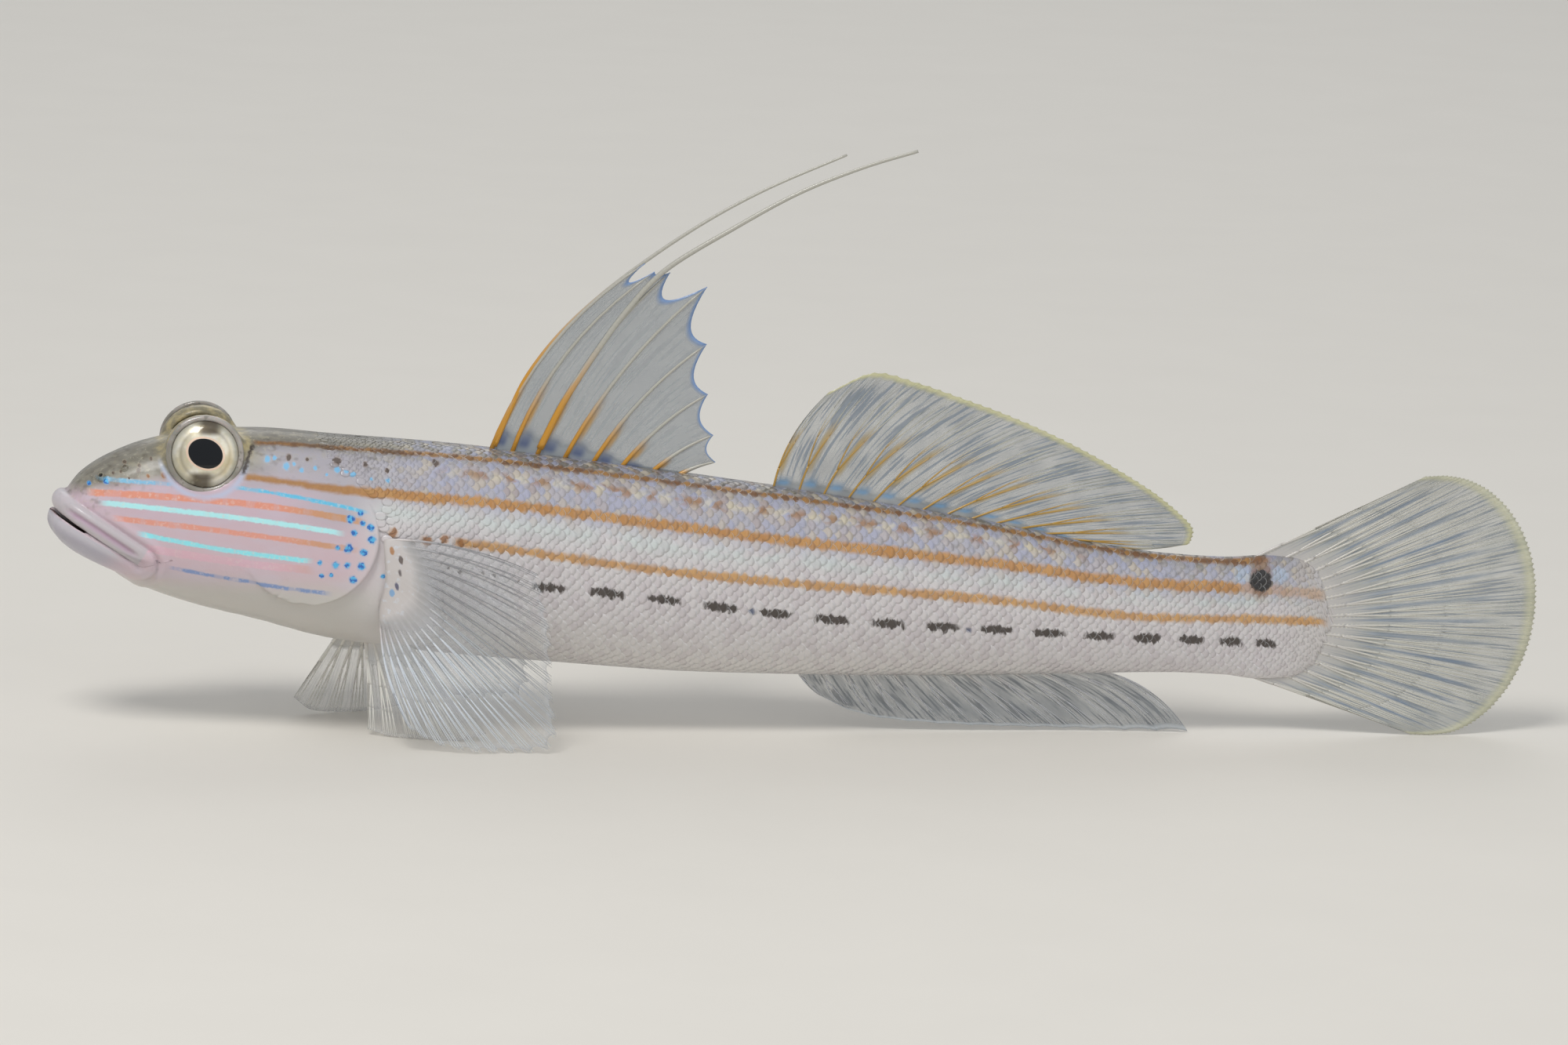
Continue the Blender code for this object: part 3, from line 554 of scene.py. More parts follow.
dashes = {
    "places": [(-27.7, 16.55), (-15.6, 16.2), (-3.4, 15.4), (8.5, 14.5), (20.3, 12.95), (32.1, 10.8), (41.8, 9.6),
               (50.4, 9.75)],
    "middles": [-27.73, -21.88, -15.6, -9.3, -3.39, 2.37, 8.51, 14.48, 20.31, 26.24, 32.12, 36.87, 41.83, 46.29, 50.43],
    "blue": [(-6.2, 15.75), (17.4, 13.5)],      # small blue dots between dashes
}
tailSpot = {"middle": (49.4, 16.85), "size": (1.25, 1.15)}
# cheek lines: places, span, half width, tone, strength and how broken they are
cheekLines = [
    ([(-75.9, 26.8), (-72.8, 26.72), (-69.6, 26.62), (-67.3, 26.7)],
     (-75.2, -66.4), 0.2, (112, 196, 236), 0.8, 0.5),
    ([(-60.6, 26.48), (-57.5, 26.17), (-54.2, 25.62), (-48.9, 24.67)],
     (-61.2, -46.5), 0.19, (96, 200, 238), 0.95, 0.3),
    ([(-75.9, 25.25), (-72.0, 25.4), (-63.9, 25.12), (-57.5, 24.76), (-49.3, 23.56)],
     (-76.2, -46.8), 0.34, (238, 148, 110), 0.8, 0.25),
    ([(-74.8, 24.44), (-68.7, 23.98), (-60.7, 23.46), (-54.2, 22.84), (-49.3, 21.95)],
     (-74.9, -49.0), 0.27, (186, 246, 250), 1.0, 0.08),
    ([(-73.5, 22.92), (-67.1, 22.42), (-60.7, 21.92), (-54.5, 21.15), (-50.9, 20.75)],
     (-73.6, -47.6), 0.29, (238, 150, 116), 0.75, 0.3),
    ([(-70.9, 21.5), (-65.4, 20.5), (-59.0, 19.74), (-52.5, 19.1)],
     (-71.0, -52.2), 0.25, (150, 236, 246), 1.0, 0.1),
    ([(-71.5, 20.3), (-68.6, 19.69), (-63.8, 19.06), (-57.3, 18.62), (-52.4, 18.1)],
     (-70.4, -52.0), 0.42, (236, 178, 196), 0.45, 0.2),
    ([(-67.1, 17.86), (-63.7, 17.24), (-58.5, 16.6), (-49.9, 15.68)],
     (-67.6, -50.2), 0.2, (116, 148, 200), 0.85, 0.55),
]
# spots: place, height and radius
spots = {
    "blue": [(-47.7, 24.13, 0.3), (-48.76, 23.57, 0.42), (-47.45, 23.1, 0.28), (-46.62, 22.71, 0.36), (-48.33, 22.13, 0.3),
             (-46.52, 21.49, 0.4), (-50.01, 20.56, 0.24), (-48.94, 20.49, 0.42), (-47.3, 20.17, 0.36), (-51.83, 18.95, 0.24),
             (-50.2, 18.73, 0.34), (-48.97, 18.75, 0.3), (-47.5, 18.68, 0.42), (-48.35, 17.25, 0.36), (-51.62, 17.62, 0.22),
             (-50.6, 17.7, 0.2), (-45.2, 17.61, 0.24), (-75.6, 26.1, 0.2), (-73.9, 26.5, 0.28)],
    "pale": [(-57.4, 29.3, 0.3), (-56.6, 29.4, 0.2), (-55.4, 28.6, 0.32), (-54.6, 28.9, 0.18), (-53.8, 28.3, 0.22),
             (-52.4, 28.5, 0.2), (-50.1, 28.4, 0.28), (-49.2, 28.2, 0.18), (-48.5, 27.96, 0.24), (-46.6, 27.5, 0.2),
             (-51.2, 27.9, 0.15), (-44.9, 27.4, 0.22)],
    "dark": [(-50.1, 29.2, 0.34), (-55.1, 29.5, 0.28), (-39.9, 29.0, 0.3), (-53.2, 29.3, 0.18), (-47.2, 28.9, 0.22),
             (-70.5, 28.2, 0.2), (-72.4, 27.5, 0.14), (-69.2, 28.9, 0.16), (-72.0, 28.4, 0.16), (-71.6, 26.95, 0.13),
             (-70.6, 27.8, 0.2), (-73.2, 27.3, 0.12), (-44.9, 28.3, 0.2), (-42.4, 21.2, 0.3), (-43.4, 16.9, 0.18),
             (-44.1, 15.4, 0.16), (-38.5, 18.5, 0.16), (-37.4, 18.15, 0.2), (-34.9, 17.95, 0.2), (-33.7, 17.75, 0.16),
             (-31.1, 17.2, 0.14)],
    "rust": [(-44.3, 22.2, 0.42), (-44.0, 20.0, 0.34), (-40.9, 21.4, 0.5), (-38.9, 21.6, 0.4), (-37.4, 21.2, 0.42),
             (-67.9, 27.5, 0.3), (-69.6, 27.3, 0.18)],
}


def window(value, low, rise, high, fall):
    # 1 between low and high, eased in over rise and out over fall
    return value.over(low, low + rise) * (1 - value.over(high - fall, high))


def paintBody(finish, scaly):
    # the same markings for the skin and the scales: height and girth bands, lines, spots and mottling
    x, z, girth = finish.threeFields("bodyPlace")
    grain, patch, fine = finish.noise(3, 900, 1300), finish.noise(2, 240, 500), finish.noise(2, 2600)
    shade = finish.field("tone") if scaly else fine
    levels = {name: girth - x.curve(stripe["places"], stripe["degree"]) for name, stripe in stripes.items()}
    upper, middle, lower = (levels[name] for name in ("upper", "middle", "lower"))
    gleam = (middle / (middle - lower) - 0.46).line(0.16, 0.2) * patch.over(0.35, 0.6)
    colour = finish.layers(
        tone(110, 105, 93), (upper.over(-1.2, 2.2), 182, 179, 186), (middle.over(-0.8, 2.2), 217, 212, 213),
        (lower.over(-0.5, 3.5), 216, 211, 212), (lower.over(4.0, 11.0), 217, 213, 210), (gleam * 0.5, 206, 224, 220))
    # the head: olive above, pink cheek, grey-white throat
    snout = z - x.curve([(-79, 24.6), (-70, 26.9), (-64, 27.2), (-58, 28.4), (-48, 27.4), (-44, 27.2)], 3)
    cheek = finish.layers(
        tone(204, 200, 194), (z.over(14.8, 18.4), 212, 188, 196), (z.over(20.0, 25.0) * 0.5, 206, 184, 200),
        (patch.over(0.4, 0.7) * z.over(15.0, 17.0) * 0.3, 206, 200, 214),
        (x.over(-57, -49) * z.over(21.0, 24.5) * 0.85, 184, 180, 188),
        (z.over(25.6, 27.0) * x.over(-62, -59) * 0.7, 178, 174, 182))
    snoutTone = finish.layers(tone(120, 116, 103), (patch.over(0.35, 0.7), 160, 156, 145))
    nape = finish.layers(tone(106, 101, 88), (upper.over(-1.0, 1.5), 172, 168, 176))
    head = finish.layers(cheek, (snout.over(-0.9, 0.9), finish.layers(snoutTone, (x.over(-60, -56), nape))))
    # mottling: dark specks on the back, lilac and pale flecks on single scales
    onBack = 1 - upper.over(0.0, 5.5)
    specks = finish.noise(1, 1050, 1250).over(0.52, 0.74) * onBack
    flank = (1 - middle.over(-0.5, 2.5)) * x.over(-48, -38)
    # a broken row of brown spots between the two upper stripes
    row = (upper / (upper - middle) - 0.42).line(0.09, 0.08) * x.over(-42, -34) * (1 - x.over(24, 34))
    beads = abs((x * 0.26 + patch * 1.8).math("FRACT") - 0.5)
    colour = finish.layers(
        colour, (1 - x.over(-50, -44), head), (specks * 0.55, 84, 76, 60),
        (fine.over(0.58, 0.72) * onBack * 0.3, 204, 198, 176),
        (grain.over(0.45, 0.75) * onBack * 0.35, 176, 168, 140),
        ((1 - upper.over(-0.9, 0.1)) * patch.over(0.46, 0.6) * 0.55, 78, 72, 60),
        (shade.over(0.45, 0.8) * flank * 0.5, 164, 170, 202),
        ((1 - shade.over(0.08, 0.24)) * flank * 0.45, 216, 204, 168),
        ((shade - 0.36).line(0.02, 0.02) * flank * 0.3, 150, 118, 84),
        ((1 - shade.over(0.3, 0.5)) * x.over(-46, -36) * 0.16, 196, 178, 190),
        (row * beads.over(0.26, 0.38) * 0.5, 222, 212, 178),
        (row * (1 - beads.over(0.1, 0.22)) * 0.75, 158, 110, 54), (x.over(50.0, 57.0) * 0.8, 206, 201, 198))
    for name, stripe in stripes.items():
        level, (low, high) = levels[name], stripe["span"]
        if "onTail" in stripe:     # on the tail's end it follows a height line, given at x 49 with its slope
            start, slope = stripe["onTail"]
            ending = x.over(40.0, 45.0)
            level = level * (1 - ending) + (start + (x - 49.0) * slope - z) * ending
        wobble = level + (grain - 0.5) * 0.5 + (shade - 0.5) * 0.16
        half = finish.noise(1, 420) * 0.3 + (x.over(-57, -45) * 0.45 + 0.55) * (stripe["half"] - 0.15)
        band = (1 - (abs(wobble) - half).over(-0.26, 0.22)) * window(x, low, 1.2, high, 1.5)
        if "faint" in stripe:      # half as strong from here on
            band = band * (1 - x.over(stripe["faint"], stripe["faint"] + 1.2) * 0.5)
        tint = finish.layers(
            stripe["tint"], (shade.over(0.3, 0.75), between(stripe["tint"], tone(224, 170, 76), 0.3)),
            ((1 - x.over(-52, -40)) * 0.35, 120, 82, 44))
        colour = finish.layers(colour, (band * stripe["strength"], tint))
    nick = (upper + (grain - 0.5) * 0.9).line(0.3, 0.15) * patch.over(0.4, 0.52) * window(x, -58.6, 1.0, -20, 24)
    # the row of dashes, and the blue dots between them
    ragged = finish.noise(2, 3400, 1300) - 0.5
    level = abs(girth - x.curve(dashes["places"], 4) + ragged * 0.9)
    count = x.curve([(place, number) for number, place in enumerate(dashes["middles"])], 5)
    apart = abs((count + 0.5).math("FRACT") - 0.5) + ragged * 0.16
    dash = (1 - (level + apart * 0.6).over(0.36, 0.62)) * (1 - apart.over(0.25, 0.34)) * window(x, -30.6, 1.2, 52.5, 1.0)
    dots = [((1 - ((x - along) ** 2 + (girth - around) ** 2).over(0.03, 0.22)) * 0.85, 44, 66, 104)
            for along, around in dashes["blue"]]
    # the black spot at the tail fin's base, brown above and below it and blue at its sides
    (spotX, spotZ), (wide, tall) = tailSpot["middle"], tailSpot["size"]
    aside, away = x - spotX, z - spotZ
    brown = ((aside / wide) ** 2 + ((away - 0.3) / 2.3) ** 2 + ragged).over(0.45, 1.3)
    blue = ((abs(aside) - 2.1) ** 2 + (away - 0.6) ** 2 + ragged * 1.6).over(0.1, 1.3)
    black = ((aside / wide) ** 2 + (away / tall) ** 2 + ragged * 0.7).over(0.75, 1.25)
    colour = finish.layers(
        colour, (nick * 0.7, 84, 62, 40), (dash * 0.96, 52, 40, 32), *dots, ((1 - brown) * 0.7, 132, 92, 58),
        ((1 - blue) * 0.5, 180, 206, 234), (1 - black, 22, 18, 20))
    return (paintSpots if scaly else paintHead)(finish, colour, x, z, fine, grain)


def paintSpots(finish, colour, x, z, fine, grain):
    # ragged spots with a soft halo; the blue ones are bright with darker parts
    warp = (grain - 0.5) * 1.1 + (fine - 0.5)
    bright = finish.layers(tone(30, 104, 190), (fine.over(0.4, 0.56), 84, 188, 238))
    looks = {"blue": (tone(120, 176, 222), bright, 0.95), "pale": (tone(160, 200, 232), tone(110, 190, 236), 0.75),
             "dark": (tone(140, 112, 84), tone(72, 56, 42), 0.8), "rust": (tone(196, 146, 84), tone(150, 96, 44), 0.8)}
    for name, (halo, core, strength) in looks.items():
        nearest = None
        for spotX, spotZ, radius in spots[name]:
            reach = (((x - spotX) ** 2 + (z - spotZ) ** 2) ** 0.5) / radius
            nearest = reach if nearest is None else nearest.math("MINIMUM", reach)
        nearest = nearest + warp
        colour = finish.layers(
            colour, ((1 - nearest.over(0.9, 1.6)) * (strength * 0.5), halo),
            ((1 - nearest.over(0.75, 1.1)) * strength, core))
    return colour


def paintHead(finish, colour, x, z, fine, grain):
    # cheek lines, spots, the whitish rim under the eye, the dark bracket behind it, lips and mouth
    ahead = 1 - x.over(-46.4, -45.2)
    for places, (low, high), half, tint, strength, broken in cheekLines:
        ragged = (grain - 0.5) * 0.22 + (fine - 0.5) * 0.25 + half
        gaps = 1 - finish.noise(1, 700, 120).over(0.52, 0.6) * broken
        band = (1 - (abs(z - x.curve(places, 2)) - ragged).over(-0.1, 0.1)) * window(x, low, 1.4, high, 1.6) * gaps
        tint = finish.layers(tone(*tint), (fine.over(0.5, 0.75) * 0.45, 244, 226, 214))
        if half > 0.28:     # the wide orange lines turn ochre behind
            tint = finish.layers(tint, (x.over(-57, -51) * 0.8, 204, 150, 84))
        colour = finish.layers(colour, (band * strength * ahead, tint))
    colour = paintSpots(finish, colour, x, z, fine, grain)
    warp = (grain - 0.5) * 0.5 + (fine - 0.5) * 0.6
    offX, offZ = x - eye["rim"][0], z - eye["rim"][2]
    ring = (offX ** 2 + offZ ** 2) ** 0.5
    rim = (ring - 4.3).line(0.28, 0.3) * (1 - offZ.over(-1.6, -0.2))
    dome = (1 - ring.over(4.3, 5.2)) * offZ.over(-2.0, 1.0)
    domeTone = finish.layers(tone(128, 120, 92), (grain.over(0.35, 0.65), 186, 170, 122))
    hook = x - z.curve([(27.8, -60.0), (28.8, -59.75), (29.8, -59.4), (30.6, -58.9)], 2)
    bracket = (hook + warp * 1.1).line(0.24, 0.2) * window(z, 27.6, 0.5, 30.8, 0.5)
    # lips: a pale upper band with a pink groove, a grey-blue lower lobe, dark inside
    away, forward, inside = finish.threeFields("mouthPlace")
    onUpper = window(away, -0.05, 0.15, 2.15, 0.3) * forward.over(0.0, 0.02)
    groove = (away - 1.0).line(0.24, 0.28) * window(forward, 0.02, 0.18, 0.95, 0.13)
    low = away * -1
    return finish.layers(
        colour, (rim * 0.7, 192, 204, 230), (dome * 0.7, domeTone), (bracket * 0.95, 48, 34, 24),
        (onUpper * 0.9, 196, 190, 194), (groove * 0.75, 176, 140, 166),
        ((away - 0.35).line(0.12, 0.15) * forward.over(0.02, 0.1) * 0.4, 226, 220, 220),
        (window(low, 0.0, 0.2, 4.2, 1.6) * forward.over(0.05, 0.4) * 0.75, 176, 178, 190),
        ((low - 0.3).line(0.2, 0.25) * forward.over(0.1, 0.3) * 0.6, 206, 202, 206), (inside.over(0.1, 0.9), 150, 124, 124))


def skinFinish():
    finish = Finish("wetSkin", {"Roughness": 0.42, "Coat Weight": 0.32, "Coat Roughness": 0.14, "Subsurface Weight": 0.08,
                                "Subsurface Scale": 0.0006, "Subsurface Radius": (1.0, 0.55, 0.45)})
    relief = finish.noise(3, 3200) * 0.4 + finish.noise(2, 700, 1000) * 0.6
    finish.feed({"Base Color": paintBody(finish, False), "Normal": finish.bump(relief, 0.06, 0.6)})
    return finish


def scaleFinish():
    # each scale has a painted sheen along its free edge, some a painted glint arc inside it, and faint growth rings
    finish = Finish("pearlScale", {"Coat Weight": 0.5, "Coat Roughness": 0.12})
    across, along, shade = finish.threeFields("scalePlace")
    outward = across ** 2 + along ** 2
    grown = finish.threeFields("bodyPlace")[0].over(-46, -37)
    # painted glint: a thin white arc just inside the free edge of some scales, standing in for a highlight
    paintedGlint = (outward - 0.84).line(0.05, 0.08) * along.over(0.1, 0.6) * shade.over(0.42, 0.6) * grown
    # painted sheen: the free edge of each scale lightened as if it caught the light
    edge = outward.over(0.55, 1.0) * along.over(-0.2, 0.6) * grown
    # the edge sheen and the glint arcs are painted highlights laid over the markings; the last layer darkens some
    # scales at random
    colour = finish.layers(
        paintBody(finish, True), (edge * 0.12, 232, 228, 226), (paintedGlint * 0.45, 244, 246, 248),
        ((1 - shade.over(0.0, 0.5)) * grown * 0.08, 120, 112, 112))
    rings = (outward ** 0.5 * 26).math("SINE")
    finish.feed({"Base Color": colour, "Roughness": shade * 0.2 + 0.24, "Normal": finish.bump(rings, 0.008, 0.25)})
    return finish


scales = {
    "pitch": 1.12, "rowShare": 0.53,      # spacing along a row, and between rows as a share of it
    "reach": (0.8496, 0.66),              # half a scale's length and height, as shares of its pitch
    "thick": 0.014, "sink": 0.026, "raise": 0.013, "crown": 0.01, "tilt": 0.003,
    "first": -53.5, "last": 58.1, "seed": 7,
    # size by place along the fish, and foremost place by share of the girth
    "growth": ((-53, -46, -36, 10, 46, 54, 58), (0.44, 0.62, 0.95, 1.0, 0.86, 0.62, 0.4)),
    "front": ((0, 0.16, 0.3, 0.42, 0.6, 0.75, 1), (-52.2, -50.6, -46.0, -44.4, -43.0, -41.3, -39.8)),
    "grid": 5, "patch": 0.003,      # points across a scale, and the width of its patch on the OFBake map
}


def scaleRoots(dice):
    # places, girths, how low on the side and sizes of the scales, in staggered rows that follow the stripes
    size = lambda x: np.interp(x, *scales["growth"])
    fineX = np.linspace(scales["first"], scales["last"], 2000)
    counts = np.concatenate([[0], np.cumsum(np.diff(fineX) / (scales["pitch"] * size(fineX[:-1])))])
    column, row = np.meshgrid(np.arange(0, counts[-1], 1.0), np.arange(-40, 56), indexing="ij")
    whole = np.arange(int(counts[-1]) + 1)
    x = np.interp(column + 0.5 * (row % 2), whole, np.interp(whole, counts, fineX))
    middle = (smoothThrough(*zip(*stripes["middle"]["places"]), x)
              + smoothThrough(*zip(*stripes["lower"]["places"]), np.maximum(x, -45))) / 2
    girth = middle + row * scales["pitch"] * scales["rowShare"] * size(x)
    total = np.interp(x, arcXs, arcTable[:, -1])
    starts = np.interp(girth / total, *scales["front"]) + dice.normal(0, 0.6, x.shape)
    ends = scales["last"] - 0.9 - ((girth / total - 0.5) / 0.5) ** 2 * 2.6 + dice.normal(0, 0.55, x.shape)
    keep = (girth > 0.15) & (girth < total - 0.1) & (x > starts) & (x < ends)
    x, girth = x[keep] + dice.normal(0, 0.05, keep.sum()), girth[keep] + dice.normal(0, 0.035, keep.sum())
    low = ease(girth / total[keep], 0.5, 0.8)
    order = np.argsort(x)
    return x[order], girth[order], low[order], scales["pitch"] * size(x[order])


def makeScales(finish):
    # each scale is a thin domed disc, closed all round, sunk in front and raised behind over the next
    dice = np.random.default_rng(scales["seed"])
    x, girth, low, size = scaleRoots(dice)
    shade = dice.random(len(x))
    grid = scales["grid"]
    across, along = np.meshgrid(np.linspace(-1, 1, grid), np.linspace(-1, 1, grid))
    discX, discY = (along * np.sqrt(1 - across**2 / 2)).ravel(), (across * np.sqrt(1 - along**2 / 2)).ravel()
    size = size[:, None] * (1 + 0.06 * dice.normal(0, 1, (len(x), 1)))
    vertexX = x[:, None] + discX * scales["reach"][0] * size
    vertexGirth = girth[:, None] + discY * scales["reach"][1] * size
    # a scale that crosses the middle of the back or the belly is carried on to the other side
    limit = np.interp(vertexX, arcXs, arcTable[:, -1])
    mirrored = np.abs(vertexGirth)
    mirrored = np.where(mirrored > limit, 2 * limit - mirrored, mirrored)
    places = arcPlace(vertexX, mirrored)
    normals = skinNormal(places)
    flip = np.where((vertexGirth < 0) | (vertexGirth > limit), -1, 1)
    places[..., 1] *= flip
    normals[..., 1] *= flip
    tilt = dice.normal(0, scales["tilt"], (len(x), 1))
    lift = ((scales["raise"] + scales["sink"]) * (discX + 1) / 2 * size - scales["sink"]
            + scales["crown"] * (1 - discX**2 - discY**2).clip(0) + tilt * discY)
    lift = lift * (0.05 + 0.95 * ease(x, -52, -37))[:, None] * (1 - 0.55 * low)[:, None]
    sheets = np.concatenate([places + normals * (lift - depth)[..., None] for depth in (0, scales["thick"])], axis=1)
    place = bodyPlace(places)
    own = place.mean(axis=1, keepdims=True)
    place = np.tile(own + (place - own) * 0.7, (1, 2, 1))      # mostly one colour to a scale
    local = np.tile(np.stack(np.broadcast_arrays(discY[None], discX[None], shade[:, None]), axis=-1), (1, 2, 1))
    patch = np.tile(scales["patch"] * np.stack([discX, discY], axis=-1) / 2, (2, 1))
    each = 2 * grid**2
    for sideName, side in bothSides:
        for part, partName in enumerate(("front", "middle", "rear")):
            pick = np.arange(len(x) * part // 3, len(x) * (part + 1) // 3)
            root = np.stack([(x[pick] + 80) / 140, 0.5 + side * girth[pick] / 64], axis=-1)      # the skin laid out flat
            faces = (sheetFaces(grid, grid)[None] + np.arange(len(pick))[:, None, None] * each).reshape(-1, 4)
            fields = {"bodyPlace": place[pick], "scalePlace": local[pick], "tone": np.repeat(shade[pick], each)}
            putMesh(f"scales_{sideName}_{partName}", sheets[pick] * [1, side, 1], [faces], finish, fields,
                    root[:, None] + patch)


def roundTubes(centres, radii, sides, facing):
    # rings of equal sides round each centre line, ended by flat caps
    way = unit(np.gradient(centres, axis=1))
    first = unit(np.cross(way, np.asarray(facing, float)))
    second = np.cross(way, first)
    turn = np.linspace(0, 2 * math.pi, sides, endpoint=False)
    ring = np.cos(turn)[:, None] * first[:, :, None] + np.sin(turn)[:, None] * second[:, :, None]
    points = centres[:, :, None] + ring * radii[:, :, None, None]
    many, rows = radii.shape
    start = np.arange(many)[:, None, None] * rows * sides
    walls = (gridFaces(rows, sides, wrap=True)[None] + start).reshape(-1, 4)
    cap = np.arange(sides)
    caps = np.concatenate([cap[::-1][None] + start[:, 0], cap[None] + start[:, 0] + (rows - 1) * sides])
    return points.reshape(-1, 3), [walls, caps]


def turned(centre, facing, across, upward, profile, sides):
    # a profile of (radius, height) swept round an axis
    radius, height = np.asarray(profile, float).T
    turn = np.linspace(0, 2 * math.pi, sides, endpoint=False)
    spokes = np.cos(turn)[:, None] * across + np.sin(turn)[:, None] * upward
    points = centre + radius[:, None, None] * spokes[None] + height[:, None, None] * facing
    cap = np.arange(sides)[None]
    faces = [gridFaces(len(radius), sides, wrap=True), cap[:, ::-1], cap + (len(radius) - 1) * sides]
    return points.reshape(-1, 3), [faces[0], np.concatenate(faces[1:])]


def eyeFinish():
    # pupil, its pink-gold ring, a gold and silver iris with dark clouds above and below, and a dark outer line
    finish = Finish("wetEye", {"Roughness": 0.35, "Specular IOR Level": 0.08, "Coat Weight": 0.9, "Coat Roughness": 0.02})
    aside, up, _ = finish.threeFields("eyePlace")
    ring = (aside ** 2 + up ** 2) ** 0.5
    fibres, clouds = finish.noise(4, 1400), finish.noise(3, 420)
    pupil = ((aside / 1.65) ** 2 + ((up + (aside - 0.4) * 0.12) / 1.46) ** 2) ** 0.5 + abs(aside + 0.3) * -0.02
    dark = (abs(up) - 2.0).over(-0.3, 0.3) * (1 - (abs(aside - up * 0.15) - 1.2).over(-0.7, 0.5)) * clouds.over(0.18, 0.4)
    glow = (aside * 0.8 - up * 0.2).over(0.9, 2.4) * (1 - ring.over(2.6, 3.2))
    colour = finish.layers(
        tone(206, 198, 174), (clouds.over(0.35, 0.65), 244, 240, 228), ((fibres - 0.5).over(-0.1, 0.2) * 0.35, 226, 214, 166),
        (ring.over(2.7, 3.3) * 0.5, 150, 150, 136), ((ring - 2.55).line(0.12, 0.25) * 0.5, 116, 106, 88),
        (dark * 0.85, 62, 48, 32), (glow * 0.35, 232, 206, 140), ((pupil - 1.12).line(0.06, 0.05), 246, 214, 190),
        (1 - pupil.over(1.03, 1.07), 2, 6, 12), (ring.over(3.38, 3.5), 48, 44, 40))
    finish.feed({"Base Color": colour, "Metallic": pupil.over(1.03, 1.07) * 0.3, "Normal": finish.bump(fibres, 0.02, 0.35)})
    return finish


def collarFinish():
    finish = Finish("eyeCollar", {"Roughness": 0.3, "Coat Weight": 0.7, "Coat Roughness": 0.06, "Subsurface Weight": 0.15,
                                  "Subsurface Scale": 0.0006})
    speck, cloud = finish.noise(3, 1700), finish.noise(2, 300)
    finish.feed({"Base Color": finish.layers(tone(138, 134, 124), (cloud.over(0.35, 0.65), 178, 172, 166),
                                             (speck.over(0.58, 0.7) * 0.5, 92, 84, 70))})
    return finish


def makeEyes(ballFinish, ringFinish):
    # the eyeball is a low dome in front and a deep bowl behind; a thin ring of round section is its rim
    spins, steps = 96, 24
    for name, side in bothSides:
        rim, facing, rearward, upward = eyeFrame(side)
        t = np.radians(np.linspace(1, 179, 60))
        height = np.where(t < math.pi / 2, eye["bulge"], eye["depth"]) * np.cos(t)
        profile = np.stack([eye["radius"] * np.sin(t), height], axis=-1)
        points, faces = turned(rim - facing * 0.1, facing, rearward, upward, profile, spins)
        offset = points - rim
        place = np.stack([offset @ rearward, offset @ upward, offset @ facing], axis=-1)
        putMesh(f"eye_ball_{name}", points, faces, ballFinish, {"eyePlace": place}, replaced=(f"eye_{name}",))
        t = np.linspace(0, 2 * math.pi, steps, endpoint=False)
        middle, half = eye["ring"]
        reach, height = middle + half * np.cos(t), 0.02 + half * np.sin(t)
        spin = np.linspace(0, 2 * math.pi, spins, endpoint=False)
        spokes = np.cos(spin)[:, None] * rearward + np.sin(spin)[:, None] * upward
        wall = rim + reach[:, None] * spokes[:, None] + height[:, None] * facing
        index = np.arange(spins * steps).reshape(spins, steps)
        there, over = np.roll(index, -1, axis=0), np.roll(index, -1, axis=1)
        faces = np.stack([index, there, np.roll(there, -1, axis=1), over], axis=-1).reshape(-1, 4)
        putMesh(f"eye_rim_{name}", wall, [faces], ringFinish)


nostrils = {
    "front": (-74.3, 26.75, 0.5, 0.42), "rear": (-72.0, 27.9, 0.12, 0.4),      # place, height, how tall, radius
    # shares of the radius against the height: a share of how tall it is and a length more
    "profile": [(1.25, 0.0, -0.25), (1.15, 0.0, 0.0), (0.95, 0.6, 0.0), (0.85, 1.0, 0.0), (0.68, 1.0, 0.08), (0.5, 1.0, 0.0),
                (0.45, 0.4, 0.0), (0.4, 0.0, -0.12)],
    "ends": ((0.03, -0.3), (0.03, -0.16)), "rings": 28, "sides": 28, "pit": (6.2, 7.6),
}


def makeNostrils(finish):
    # a short tube in front and a low rimmed pore behind it, each with a dark pit
    outer, inner = nostrils["ends"]
    for name in ("front", "rear"):
        x, z, tall, reach = nostrils[name]
        profile = [outer, *((wide * reach, share * tall + more) for wide, share, more in nostrils["profile"]), inner]
        shares = np.linspace(0, len(profile) - 1, nostrils["rings"])
        for sideName, side in bothSides:
            place = np.array([x, side * sideWidth(x, z), z])
            facing = unit(skinNormal(place[None])[0] + [0, 0, 0.15])
            rearward = unit(np.cross(facing, [0, 0, 1.0]))
            upward, sides = np.cross(rearward, facing), nostrils["sides"]
            points, faces = turned(place, facing, rearward, upward, through(profile, shares), sides)
            inside = np.repeat(ease(shares, *nostrils["pit"]), sides)
            away = np.stack([0 * inside + 9, 0 * inside, inside], axis=-1)
            putMesh(f"nostril_{name}_{sideName}", points, faces, finish,
                    {"bodyPlace": bodyPlace(points * [1, side, 1]), "mouthPlace": away})


